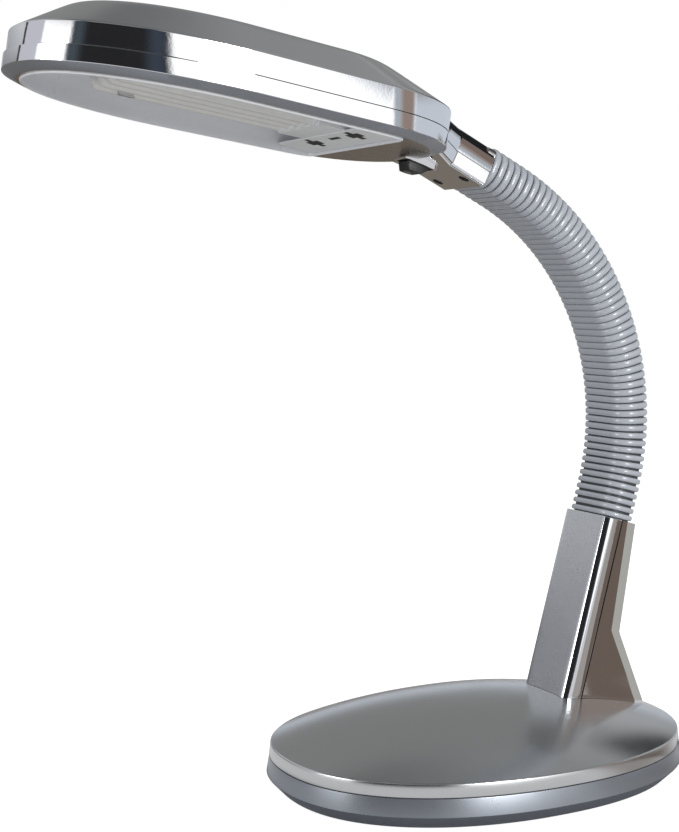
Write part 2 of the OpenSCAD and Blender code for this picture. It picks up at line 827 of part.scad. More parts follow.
// Rocker switch where the underside of the head meets the collar, with its front half standing out
switch_y = -13.6;
switch_lean = 3;
switch_wall = 1.5;
cavity_half = rocker_length / 2 + 1.2;
cavity_top = 5.6;
housing_half = cavity_half + switch_wall;
housing_side = rocker_width / 2 + fit + switch_wall;
housing_top = 8;
bezel_low = 2.5;
fairing_low = 2;
fairing_wall = 1.8;
pivot_z = 1;
axle_r = 1.2;
axle_fit = 0.05;
axle_length = rocker_width + 2 * fit + switch_wall;

module at_switch() {
    at_head() translate([0, switch_y, lip_z - pivot_z - fit]) rotate([switch_lean, 0, 0]) children();
}

module switch_box(grow, low, top) {
    translate([-housing_side - grow, -housing_half - grow, -low])
        cube([2 * housing_side + 2 * grow, 2 * housing_half + 2 * grow, low + top]);
}

module fairing_box() {
    switch_box(fit + fairing_wall, fairing_low, housing_top / 2);
}

module cutout_box() {
    switch_box(fit, 2 * housing_top, 2 * housing_top);
}

module switch_housing() {
    color([0.06, 0.06, 0.07]) at_switch() difference() {
        switch_box(0, bezel_low, housing_top);
        translate([-rocker_width / 2 - fit, -cavity_half, -bezel_low - over])
            cube([rocker_width + 2 * fit, 2 * cavity_half, bezel_low + over + cavity_top]);
        translate([0, 0, pivot_z]) rotate([0, 90, 0])
            cylinder(r = axle_r + axle_fit, h = axle_length + fit, center = true);
    }
}

rocker_end = 5;
rocker_apex = 8;
rocker_back = 2.6;
module switch_rocker() {
    half = rocker_length / 2;
    color([0.03, 0.03, 0.035]) at_switch() translate([0, 0, pivot_z]) rotate([rocker_tilt, 0, 0]) {
        translate([-rocker_width / 2, 0, 0]) rotate([90, 0, 90]) linear_extrude(rocker_width)
            polygon([[-half, pivot_z], [-half, -rocker_end], [0, -rocker_apex], [half, -rocker_end],
                [half, pivot_z], [0, rocker_back]]);
        rotate([0, 90, 0]) cylinder(r = axle_r, h = axle_length, center = true);
    }
}

base_top_cover();
base_tray();
base_weight();
foot_pad();
base_screws();
cord_gland();
cord_clamp();
ballast_box();
post_front_cover();
post_rear_cover();
post_tube();
lower_ferrule();
for (i = [1:6]) neck_core(i);
for (i = [1:7]) sleeve(i);
upper_ferrule();
head_top_shell();
head_lower_shell();
collar_screws();
reflector();
lamp_holder();
bulb_tubes();
bulb_base();
bulb_pins();
bulb_clip();
socket_cover();
switch_housing();
switch_rocker();
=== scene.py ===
from math import atan2, copysign, cos, hypot, pi, radians, sin
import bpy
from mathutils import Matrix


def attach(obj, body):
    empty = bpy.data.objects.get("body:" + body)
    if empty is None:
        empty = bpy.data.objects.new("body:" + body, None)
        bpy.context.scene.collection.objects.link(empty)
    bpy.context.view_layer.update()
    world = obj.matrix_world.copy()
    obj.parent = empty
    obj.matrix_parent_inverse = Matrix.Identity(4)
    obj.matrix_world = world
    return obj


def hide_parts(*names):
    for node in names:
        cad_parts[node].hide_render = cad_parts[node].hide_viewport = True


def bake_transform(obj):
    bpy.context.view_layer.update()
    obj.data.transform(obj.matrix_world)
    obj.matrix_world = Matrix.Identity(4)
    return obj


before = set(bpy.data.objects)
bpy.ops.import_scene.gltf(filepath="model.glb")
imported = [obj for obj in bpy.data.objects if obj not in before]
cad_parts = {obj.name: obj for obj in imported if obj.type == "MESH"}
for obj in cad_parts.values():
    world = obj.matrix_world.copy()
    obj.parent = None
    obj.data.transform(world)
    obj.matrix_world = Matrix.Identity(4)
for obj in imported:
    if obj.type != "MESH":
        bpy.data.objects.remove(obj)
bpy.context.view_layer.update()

from types import SimpleNamespace as Form
import bmesh
import bpy
import numpy as np
from mathutils import Matrix, Vector

mm = 0.001
scene = bpy.context.scene


def link(name, data):
    made = bpy.data.objects.new(name, data)
    scene.collection.objects.link(made)
    return made


# Camera, placed as the photo was taken
cameraPlan = dict(
    turn=0.99145, height=303.43, reach=941.90, tilt=0.08508, roll=-0.00235, pan=0.08989, focal=1533.37,
    imageWidth=679, sensor=36, near=0.01, far=50)


def makeCamera(plan):
    look = plan.turn + plan.pan
    tilt = plan.tilt
    forward = Vector((-sin(look) * cos(tilt), cos(look) * cos(tilt), -sin(tilt)))
    flat = Vector((cos(look), sin(look), 0))
    above = flat.cross(forward)
    right = flat * cos(plan.roll) + above * sin(plan.roll)
    up = above * cos(plan.roll) - flat * sin(plan.roll)
    data = bpy.data.cameras.new("camera")
    data.sensor_fit = "HORIZONTAL"
    data.sensor_width = plan.sensor
    data.lens = plan.focal / plan.imageWidth * plan.sensor
    data.clip_start = plan.near
    data.clip_end = plan.far
    across = plan.reach * sin(plan.turn)
    back = plan.reach * cos(plan.turn)
    place = Matrix((right, up, -forward)).transposed().to_4x4()
    place.translation = Vector((across, -back, plan.height)) * mm
    camera = link("camera", data)
    camera.matrix_world = place
    scene.camera = camera


makeCamera(Form(**cameraPlan))
print("camera placed")


# Node arithmetic: one output socket with the usual operators
class Value:
    def __init__(self, tree, socket=None):
        self.tree = tree
        self.socket = socket

    def make(self, kind, settings, sockets, output=0):
        node = self.tree.nodes.new(kind)
        for name, setting in settings.items():
            setattr(node, name, setting)
        for name, content in sockets.items():
            for part in content if isinstance(content, list) else [content]:
                if isinstance(part, Value):
                    self.tree.links.new(part.socket, node.inputs[name])
                else:
                    node.inputs[name].default_value = part
        return Value(self.tree, node.outputs[output])

    def maths(self, operation, first, second=0.0):
        return self.make("ShaderNodeMath", {"operation": operation}, {0: first, 1: second})

    def __add__(self, other):
        return self.maths("ADD", self, other)

    def __radd__(self, other):
        return self.maths("ADD", other, self)

    def __sub__(self, other):
        return self.maths("SUBTRACT", self, other)

    def __rsub__(self, other):
        return self.maths("SUBTRACT", other, self)

    def __mul__(self, other):
        return self.maths("MULTIPLY", self, other)

    def __rmul__(self, other):
        return self.maths("MULTIPLY", other, self)

    def split(self, axis):
        return self.make("ShaderNodeSeparateXYZ", {}, {"Vector": self}, axis)

    def noise(self, place, size, detail):
        return self.make("ShaderNodeTexNoise", {}, {"Vector": place, "Scale": size, "Detail": detail})

    def ramp(self, low, high, start=0.0, end=1.0):
        return self.make("ShaderNodeMapRange", {"interpolation_type": "SMOOTHSTEP"},
                         {"Value": self, "From Min": low, "From Max": high, "To Min": start, "To Max": end})

    def drop(self, low, high):
        return self.ramp(low, high, 1.0, 0.0)

    def tint(self, *sides):
        first, second = [side if isinstance(side, Value) else colour(*side) for side in sides]
        return self.make("ShaderNodeMix", {"data_type": "RGBA"}, {0: self, 6: first, 7: second}, 2)


def colour(red, green, blue):
    return (red, green, blue, 1.0)


# Each finish: colour with slow tone shifts, metal, roughness with wear, size and height of a fine grain
finishTraits = ("colour", "metal", "rough", "wear", "tone", "grain", "bump")
finishes = {
    "satinChrome": ((0.66, 0.67, 0.68), 1, 0.20, 0.01, 0.02, 1500, 0.004),
    "mirrorChrome": ((0.86, 0.87, 0.89), 1, 0.05, 0.02, 0.02, 700, 0.03),
    "crownSatin": ((0.71, 0.72, 0.73), 1, 0.20, 0.01, 0.02, 1300, 0.004),
    "underSatin": ((0.43, 0.40, 0.365), 1, 0.24, 0.04, 0.05, 1200, 0.01),
    "postSatin": ((0.68, 0.69, 0.70), 1, 0.28, 0.012, 0.07, 1100, 0.12),
    # slateBezel: the chrome bezel painted dark slate, a painted reflection of the dark floor
    "slateBezel": ((0.26, 0.276, 0.305), 0.5, 0.36, 0.06, 0.08, 900, 0.03),
    "slateTray": ((0.26, 0.28, 0.312), 0.7, 0.28, 0.01, 0.025, 1200, 0.008),
    "sleeveGrey": ((0.38, 0.40, 0.436), 0, 0.22, 0.04, 0.04, 700, 0.006),
    # sleeveGrooveShade: near-black core between the ribs, painted shade in the grooves
    "sleeveGrooveShade": ((0.045, 0.05, 0.056), 0, 0.55, 0.08, 0.1, 700, 0.05),
    "reflectorWhite": ((0.73, 0.74, 0.77), 0, 0.32, 0.05, 0.02, 600, 0.01),
    "plasticWhite": ((0.76, 0.77, 0.77), 0, 0.4, 0.06, 0.03, 900, 0.03),
    "bulbGlass": ((0.76, 0.75, 0.72), 0, 0.22, 0.05, 0.04, 300, 0.004),
    "steel": ((0.55, 0.55, 0.56), 1, 0.3, 0.08, 0.08, 1200, 0.03),
    "brass": ((0.72, 0.53, 0.24), 1, 0.28, 0.08, 0.1, 1200, 0.03),
    "castIron": ((0.12, 0.12, 0.125), 0.6, 0.6, 0.12, 0.2, 500, 0.2),
    "rubber": ((0.03, 0.03, 0.033), 0, 0.75, 0.08, 0.2, 900, 0.12),
    # plasticDark: real dark plastic parts and the inside of the top shell; painted shade in the fin's seam
    # and the collar's screw bores
    "plasticDark": ((0.035, 0.036, 0.04), 0, 0.45, 0.08, 0.12, 1100, 0.06),
    "plasticIvory": ((0.70, 0.66, 0.54), 0, 0.45, 0.06, 0.05, 800, 0.04),
    # plasticBlack: the switch's real black plastic, and painted shade in the cover plate's openings
    "plasticBlack": ((0.010, 0.010, 0.011), 0, 0.5, 0.08, 0.15, 1600, 0.08),
    "printWhite": ((0.8, 0.8, 0.8), 0, 0.5, 0.05, 0.04, 1500, 0.02)}
coats = {"slateTray": 0.1, "sleeveGrey": 0.3, "reflectorWhite": 0.2, "bulbGlass": 0.4}
drawnGrain = {"steel": (1, 6, 1), "brass": (1, 6, 1)}
grainForm = dict(
    cloud=(14.0, 2.0), wear=(70.0, 4.0), grainDetail=2.0, cloudShare=0.4, grainShare=0.6, low=0.3, high=0.7,
    bumpDepth=0.0004, coatRough=0.12)


def makeFinish(name, row):
    plan = Form(**dict(zip(finishTraits, row)))
    form = Form(**grainForm)
    material = bpy.data.materials.new(name)
    material.use_nodes = True
    tree = material.node_tree
    shader = next(n for n in tree.nodes if n.type == "BSDF_PRINCIPLED")
    shader.inputs["Metallic"].default_value = plan.metal
    shader.inputs["Coat Weight"].default_value = coats.get(name, 0)
    shader.inputs["Coat Roughness"].default_value = form.coatRough
    start = Value(tree)
    place = start.make("ShaderNodeTexCoord", {}, {}, "Object")
    drawn = start.make("ShaderNodeVectorMath", {"operation": "MULTIPLY"},
                       {0: place, 1: drawnGrain.get(name, (1, 1, 1))})
    cloud = start.noise(place, *form.cloud)
    wear = start.noise(place, *form.wear)
    grain = start.noise(drawn, float(plan.grain), form.grainDetail)
    base = np.array(plan.colour)
    dark = base * (1 - plan.tone)
    pale = np.minimum(base * (1 + plan.tone), 1)
    tone = cloud * form.cloudShare + grain * form.grainShare
    made = {"Base Color": tone.ramp(form.low, form.high).tint(dark, pale),
            "Roughness": wear.ramp(form.low, form.high, -1.0, 1.0) * plan.wear + plan.rough,
            "Normal": start.make("ShaderNodeBump", {}, {"Strength": plan.bump, "Height": grain,
                                                        "Distance": form.bumpDepth})}
    for label, value in made.items():
        tree.links.new(value.socket, shader.inputs[label])
    return material


materials = {name: makeFinish(name, row) for name, row in finishes.items()}
slotFinish = {"satin_chrome": "satinChrome", "grey_tray": "slateTray", "cast_weight": "castIron",
              "rubber": "rubber", "steel": "steel", "dark_plastic": "plasticDark",
              "ivory_plastic": "plasticIvory", "mirror_chrome": "mirrorChrome", "sleeve_grey": "sleeveGrey",
              "white_paint": "reflectorWhite", "white_plastic": "plasticWhite", "bulb_glass": "bulbGlass",
              "brass": "brass", "black_plastic": "plasticBlack"}
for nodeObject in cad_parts.values():
    for holder in nodeObject.material_slots:
        slotName = holder.material.name.split(".")[0]
        holder.material = materials[slotFinish[slotName]]
print("finishes made")


# Mesh helpers: rings and faces in millimetres
meshForm = dict(weld=2e-6, sliver=1e-7, sharp=34, bevelFrom=40, round=48)


def power(value, exponent):
    return np.sign(value) * np.abs(value) ** exponent


def smoothMin(value, limit, soft):
    return -soft * np.logaddexp(-np.asarray(value) / soft, -np.asarray(limit) / soft)


def circle(count):
    turn = np.linspace(0, 2 * np.pi, count, endpoint=False)
    return np.cos(turn), np.sin(turn)


def level(x, y, z):
    return np.column_stack((x, y, np.full(len(x), z)))


def skin(rings, closed=False, capped=False):
    count = len(rings[0])
    total = len(rings)
    faces = []
    for i in range(total if closed else total - 1):
        a = i * count
        b = (i + 1) % total * count
        faces += [(a + j, a + (j + 1) % count, b + (j + 1) % count, b + j) for j in range(count)]
    if capped:
        faces += [tuple(range(count)), tuple(range((total - 1) * count, total * count))]
    return np.vstack(rings), faces


def byFinish(points, faces, finishOf, *names):
    return [(points, [face for face, own in zip(faces, finishOf) if own == name], name) for name in names]


def lathe(profile, count, closed=False):
    across, along = circle(count)
    return skin([level(r * across, r * along, z) for r, z in profile], closed, not closed)


def cylinder(radius, low, high):
    return lathe([(radius, low), (radius, high)], meshForm["round"])


def block(low, high):
    corners = [(0, 0), (1, 0), (1, 1), (0, 1)]
    ends = (low, high)
    rings = [np.array([(ends[i][0], ends[j][1], z) for i, j in corners]) for z in (low[2], high[2])]
    return skin(rings, capped=True)


def rotation(degrees, axis="X"):
    return Matrix.Rotation(radians(degrees), 4, axis)


def turned(origin, degrees, axis="X"):
    return Matrix.Translation(Vector(origin)) @ rotation(degrees, axis)


def tidyMesh(mesh, sharp):
    work = bmesh.new()
    work.from_mesh(mesh)
    bmesh.ops.remove_doubles(work, verts=work.verts, dist=meshForm["weld"])
    bmesh.ops.dissolve_degenerate(work, edges=work.edges, dist=meshForm["sliver"])
    bmesh.ops.recalc_face_normals(work, faces=work.faces)
    work.to_mesh(mesh)
    work.free()
    mesh.shade_smooth()
    mesh.set_sharp_from_angle(angle=radians(sharp))


def build(name, parts, place=None, sharp=meshForm["sharp"]):
    mesh = bpy.data.meshes.new(name)
    verts = []
    faces = []
    slots = []
    for points, polygons, finish in parts:
        shift = len(verts)
        verts += [tuple(p) for p in np.asarray(points, float)]
        faces += [tuple(shift + i for i in polygon) for polygon in polygons]
        slot = mesh.materials.find(finish)
        if slot < 0:
            mesh.materials.append(materials[finish])
            slot = len(mesh.materials) - 1
        slots += [slot] * len(polygons)
    mesh.from_pydata(verts, [], faces)
    mesh.polygons.foreach_set("material_index", slots)
    mesh.transform(Matrix.Scale(mm, 4) @ (place or Matrix.Identity(4)))
    tidyMesh(mesh, sharp)
    return link(name, mesh)


def settle(piece, body, slotName, *nodes):
    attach(piece, body)
    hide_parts(*nodes)


def plainMesh(piece):
    return bpy.data.meshes.new_from_object(piece.evaluated_get(bpy.context.evaluated_depsgraph_get()))


def bake(piece):
    mesh = plainMesh(piece)
    piece.modifiers.clear()
    piece.data = mesh
    tidyMesh(mesh, meshForm["sharp"])
    return piece


def bevelled(piece, width, segments=3):
    edge = piece.modifiers.new("bevel", "BEVEL")
    edge.width = width * mm
    edge.segments = segments
    edge.limit_method = "ANGLE"
    edge.angle_limit = radians(meshForm["bevelFrom"])
    return bake(piece)


def cut(piece, cutters):
    for cutter in cutters:
        change = piece.modifiers.new("cut", "BOOLEAN")
        change.operation = "DIFFERENCE"
        change.solver = "EXACT"
        change.material_mode = "TRANSFER"
        change.object = cutter
    bake(piece)
    for cutter in cutters:
        bpy.data.objects.remove(cutter)
    return piece


# Text or an outline as a mesh of one finish
def drawnMesh(source, finish):
    mesh = plainMesh(source)
    bpy.data.objects.remove(source)
    mesh.materials.clear()
    mesh.materials.append(materials[finish])
    return mesh


# Base: crowned cover and tray. The edges are pairs of inset and height
baseForm = dict(
    halfLength=132.0, halfWidth=98.5, egg=0.03, round=2.2, rim=27.6, seam=19.4, gap=0.4, crease=9.2,
    swell=2.4, footInset=5.5, footZ=0.8, dome=20.4, crown=2.2, wall=2.4, draft=0.8, points=288, outerSteps=56,
    innerSteps=24, crownFrom=2.5, tries=6, tiny=1e-6, limit=1.2, padShare=0.72, padDeep=0.4, point=0.001,
    coverEdge=((0.45, 0), (0.12, 0.12), (0, 0.45)), trayEdge=((0.4, 0), (0.1, -0.12), (0, -0.45)),
    rimEdge=((-0.06, -0.7), (0.06, -0.28), (0.34, -0.02), (0.9, 0.3)),
    creaseEdge=((0.12, 0.8), (0, 0), (0.35, -0.6)), footEdge=((-0.5, 0.5), (0.3, 0.05), (1.2, 0)),
    screws=[(x, y) for x in (-76, 76) for y in (-30, 30)], recess=(3.9, -1, 2.4))
glandForm = dict(
    place=turned((50.85, 117.88, 10.1), 56.55, "Z") @ rotation(90, "Y"), hole=(5.3, -10, 12),
    bush=[(3.6, -8.4), (5.2, -8.4), (5.2, 3.0), (6.3, 3.0), (6.6, 3.3), (6.6, 4.9), (6.1, 5.5), (4.1, 5.6),
          (3.6, 5.2)])


def baseRing(inset, z, share=1.0):
    f = Form(**baseForm)
    across, along = circle(f.points)
    x = (f.halfWidth - inset) * power(across, 2 / f.round)
    x = x * (1 + f.egg * along)
    y = (f.halfLength - inset) * power(along, 2 / f.round)
    return level(share * x, share * y, z)


def domeHeight(x, y):
    f = Form(**baseForm)
    lean = 0.0
    for _ in range(f.tries):
        wide = f.halfWidth * (1 + f.egg * lean)
        share = (abs(x / wide) ** f.round + abs(y / f.halfLength) ** f.round) ** (1 / f.round)
        lean = float(power(np.clip(y / (f.halfLength * max(share, f.tiny)), -1, 1), f.round / 2))
    return f.rim + f.dome * (1 - min(share, f.limit) ** f.crown)


def crownRings(wall, steps):
    f = Form(**baseForm)
    rings = []
    for angle in np.linspace(f.crownFrom, 90, steps):
        share = max(cos(radians(angle)), 0)
        z = f.rim - wall + f.dome * (1 - share ** f.crown)
        rings.append(baseRing(wall, z, share))
    return rings


def makeCover():
    f = Form(**baseForm)
    wall = f.wall
    rings = crownRings(wall, f.innerSteps)[::-1]
    rings += [baseRing(wall, f.rim - wall), baseRing(wall - f.draft, f.seam + f.gap)]
    rings += [baseRing(inset - f.draft, f.seam + f.gap + z) for inset, z in f.coverEdge]
    rings += [baseRing(inset, f.rim + z) for inset, z in f.rimEdge]
    rings += crownRings(0, f.outerSteps)[2:]
    settle(build("baseCover", [(*skin(rings), "satinChrome")]), "base", "satin_chrome", "base_top_cover")


def makeTray():
    f = Form(**baseForm)
    wall = f.wall
    foot = f.footZ
    profile = [(f.footInset + wall, foot + wall), (wall - f.swell, f.crease),
               (wall - f.draft, f.seam)]
    profile += [(inset - f.draft, f.seam + z) for inset, z in f.trayEdge]
    profile += [(inset - f.swell, f.crease + z) for inset, z in f.creaseEdge]
    profile += [(f.footInset + inset, foot + z) for inset, z in f.footEdge]
    rings = [baseRing(wall, foot + wall, f.point)]
    rings += [baseRing(inset, z) for inset, z in profile]
    pad = [(0, f.padShare), (f.padDeep, f.padShare), (f.padDeep, f.point)]
    rings += [baseRing(0, foot + rise, share) for rise, share in pad]
    tray = build("baseTray", [(*skin(rings, capped=True), "slateTray")])
    points, faces = cylinder(*f.recess)
    cutters = [build("recess", [(points + [x, y, 0], faces, "slateTray")]) for x, y in f.screws]
    cutters.append(build("hole", [(*cylinder(*glandForm["hole"]), "slateTray")], glandForm["place"]))
    settle(cut(tray, cutters), "base", "grey_tray", "base_tray")
    bush = lathe(glandForm["bush"], meshForm["round"], True)
    gland = build("cordGland", [(*bush, "rubber")], glandForm["place"])
    settle(gland, "base", "rubber", "cord_gland")


makeCover()
makeTray()
print("base built")


# Post: front cover with bevelled corners and a deep rear fin, both trimmed to the crown
postForm = dict(
    place=turned((0, 51.7, 45.4055), -15.6), half=22.6, bevel=3.5, depth=12.9, length=116.7, wall=2.2,
    edge=0.8, edgeTurn=(90, 60, 30, 0), bendSteps=7, bends=[(0, 20, 6.0), (20, 42, 8.0), (42, 90, 3.4)],
    deepShare=0.6, wideShare=0.4, spacing=2.5, topEdge=0.4, topDraw=0.012, footSearch=(-45.0, 60.0),
    halvings=40, sharp=30)
finForm = dict(
    half=21.6, bevel=4.0, run=10.6, taper=0.05, front=14.2, top=28.2, kink=(35.8, 47.0), heel=74.4,
    topShare=0.98, seat=0.15, soft=0.5, softSide=0.25, softRun=0.6, under=-40, upperPoints=12, backPoints=60,
    solePoints=24, frontPoints=12, sharp=6)


def postFoot(x, y):
    p = Form(**postForm)
    low, high = p.footSearch
    for _ in range(p.halvings):
        middle = (low + high) / 2
        spot = p.place @ Vector((x, y, middle))
        if spot.z > domeHeight(spot.x, spot.y) + finForm["seat"]:
            high = middle
        else:
            low = middle
    return low


# The front corner: a soft turn, a flatter bevel and a softer turn into the side
def bendLine():
    spots = [(-postForm["half"], 0.0)]
    for start, end, radius in postForm["bends"]:
        steps = np.radians(np.linspace(start, end, postForm["bendSteps"]))
        for a, b in zip(steps, steps[1:]):
            x, y = spots[-1]
            spots.append((x + radius * (cos(a) - cos(b)), y - radius * (sin(b) - sin(a))))
    drop = spots[-1][1]
    return [(x, y - drop) for x, y in spots]


def makePost():
    p = Form(**postForm)
    half = p.half
    wall = p.wall
    edge = p.edge
    turn = np.radians(p.edgeTurn)
    corner = [(-half + edge - edge * cos(a), p.depth - edge + edge * sin(a)) for a in turn]
    corner += bendLine()
    inside = [(half - wall, p.depth), (half - wall, p.bevel + wall * p.deepShare),
              (half - p.bevel - wall * p.wideShare, wall)]
    ends = corner + [(-x, y) for x, y in corner[::-1]] + inside + [(-x, y) for x, y in inside[::-1]]
    outline = []
    finishOf = []
    for i, (x0, y0) in enumerate(ends):
        x1, y1 = ends[(i + 1) % len(ends)]
        steps = max(1, int(hypot(x1 - x0, y1 - y0) / p.spacing))
        outline += [(x0 + (x1 - x0) * k / steps, y0 + (y1 - y0) * k / steps) for k in range(steps)]
        finishOf += ["postSatin" if i == len(corner) - 1 else "mirrorChrome"] * steps
    outline = np.array(outline)
    feet = np.array([postFoot(x, y) for x, y in outline])
    top = np.full(len(outline), p.length)
    inward = outline + (np.array([0.0, p.depth]) - outline) * p.topDraw
    rings = [np.column_stack((outline, feet)), np.column_stack((outline, top - p.topEdge)),
             np.column_stack((inward, top))]
    points, faces = skin(rings, capped=True)
    finishOf = finishOf * 2 + ["mirrorChrome"] * 2
    parts = byFinish(points, faces, finishOf, "postSatin", "mirrorChrome")
    settle(build("postFront", parts, p.place, p.sharp), "base", "mirror_chrome", "post_front_cover")


def finLine(bevel):
    f = Form(**finForm)
    kinkY, kinkZ = f.kink
    top = postForm["length"]
    slope = (f.heel - kinkY) / kinkZ
    back = []
    for z in np.linspace(top, kinkZ, f.upperPoints, endpoint=False):
        share = (top - z) / (top - kinkZ)
        drop = bevel * (f.topShare + (1 - f.topShare) * share)
        back.append((f.top + (kinkY - f.top) * share - drop, z))
    for z in np.linspace(kinkZ, f.under, f.backPoints):
        back.append((kinkY + (kinkZ - z) * slope - bevel, z))
    return back


def finRing(x, bevel):
    f = Form(**finForm)
    line = [(x, y, z) for y, z in finLine(bevel) if z > postFoot(x, y)]
    line.append((x, line[-1][1], postFoot(x, line[-1][1])))
    line = np.array(line, float)
    run = np.concatenate(([0], np.cumsum(np.linalg.norm(np.diff(line, axis=0), axis=1))))
    even = np.linspace(0, run[-1], f.backPoints)
    back = np.column_stack([np.interp(even, run, line[:, i]) for i in range(3)])
    depths = np.linspace(back[-1][1], f.front, f.solePoints)
    sole = [(x, y, postFoot(x, y)) for y in depths[1:]]
    heights = np.linspace(sole[-1][2], postForm["length"], f.frontPoints)
    rise = [(x, f.front, z) for z in heights[1:]]
    ring = np.vstack((back, sole, rise))
    ring[:, 0] -= copysign(f.taper, x) * (ring[:, 1] - f.front)
    return ring


def makeFin():
    f = Form(**finForm)
    half = f.half
    bevel = f.bevel
    e = f.soft
    run = f.run
    stops = [(half, run + e), (half - e * f.softSide, run - e * f.softRun), (half - bevel + e, e),
             (half - bevel - e, 0)]
    rings = [finRing(-x, b) for x, b in stops] + [finRing(x, b) for x, b in stops[::-1]]
    points, faces = skin(rings, capped=True)
    count = len(rings[0])
    first = f.backPoints + f.solePoints - 2
    # The fin's front wall, seen in the seam behind the cover, is painted shade
    finishOf = ["plasticDark" if len(face) == 4 and first <= i % count < count - 1 else "mirrorChrome"
                for i, face in enumerate(faces)]
    parts = byFinish(points, faces, finishOf, "mirrorChrome", "plasticDark")
    settle(build("postFin", parts, postForm["place"], f.sharp), "base", "mirror_chrome", "post_rear_cover")


makePost()
makeFin()
print("post built")


# Neck: one path, ribs set along it by geometry nodes, in one stretch for each joint
neckForm = dict(
    start=(95.46, 154.35), straight=20.0, length=265.5, turn=79.2, lean=15.6, stretches=7, ribs=8, width=45.2,
    depth=25.7, corner=11.0, ribDepth=1.7, points=400, past=3.0,
    ribLengths=[0.70, 0.74, 0.84, 0.90, 0.92, 0.92, 0.92, 0.92], cornerSteps=9, beadSteps=16, beadPower=0.72,
    groove=1.25)


def neckPoint(s):
    n = Form(**neckForm)
    arc = n.length - 2 * n.straight
    radius = arc / radians(n.turn)
    lean = radians(n.lean)
    share = min(max((s - n.straight) / arc, 0), 1)
    a = -lean + radians(n.turn) * share
    end = radians(n.turn) - lean
    first = min(s, n.straight)
    last = max(0.0, s - n.straight - arc)
    y = n.start[0] + first * sin(lean) + radius * (cos(a) - cos(lean))
    z = n.start[1] + first * cos(lean) + radius * (sin(a) + sin(lean))
    return Vector((0, y - last * sin(end), z + last * cos(end))) * mm


def addLoop(data, spots, cyclic=False):
    spline = data.splines.new("POLY")
    spline.points.add(len(spots) - 1)
    spline.use_cyclic_u = cyclic
    for point, spot in zip(spline.points, spots):
        point.co = (*spot, 1)


def makePath():
    data = bpy.data.curves.new("neckPath", "CURVE")
    data.dimensions = "3D"
    spots = np.linspace(0, neckForm["length"] + neckForm["past"], neckForm["points"])
    addLoop(data, [neckPoint(float(s)) for s in spots])
    return link("neckPath", data)


class Graph:
    def __init__(self, name, inputs):
        self.tree = bpy.data.node_groups.new(name, "GeometryNodeTree")
        self.tree.interface.new_socket("Geometry", in_out="OUTPUT", socket_type="NodeSocketGeometry")
        self.names = {}
        for label, kind in inputs.items():
            made = self.tree.interface.new_socket(label, in_out="INPUT", socket_type="NodeSocket" + kind)
            self.names[label] = made.identifier
        source = self.tree.nodes.new("NodeGroupInput")
        self.given = {label: Value(self.tree, source.outputs[label]) for label in inputs}
        self.start = Value(self.tree)

    def end(self, geometry):
        sink = self.tree.nodes.new("NodeGroupOutput")
        self.tree.links.new(geometry.socket, sink.inputs[0])

    def run(self, name, values):
        piece = link(name, bpy.data.meshes.new(name))
        change = piece.modifiers.new("graph", "NODES")
        change.node_group = self.tree
        for label, content in values.items():
            change[self.names[label]] = content
        return bake(piece)


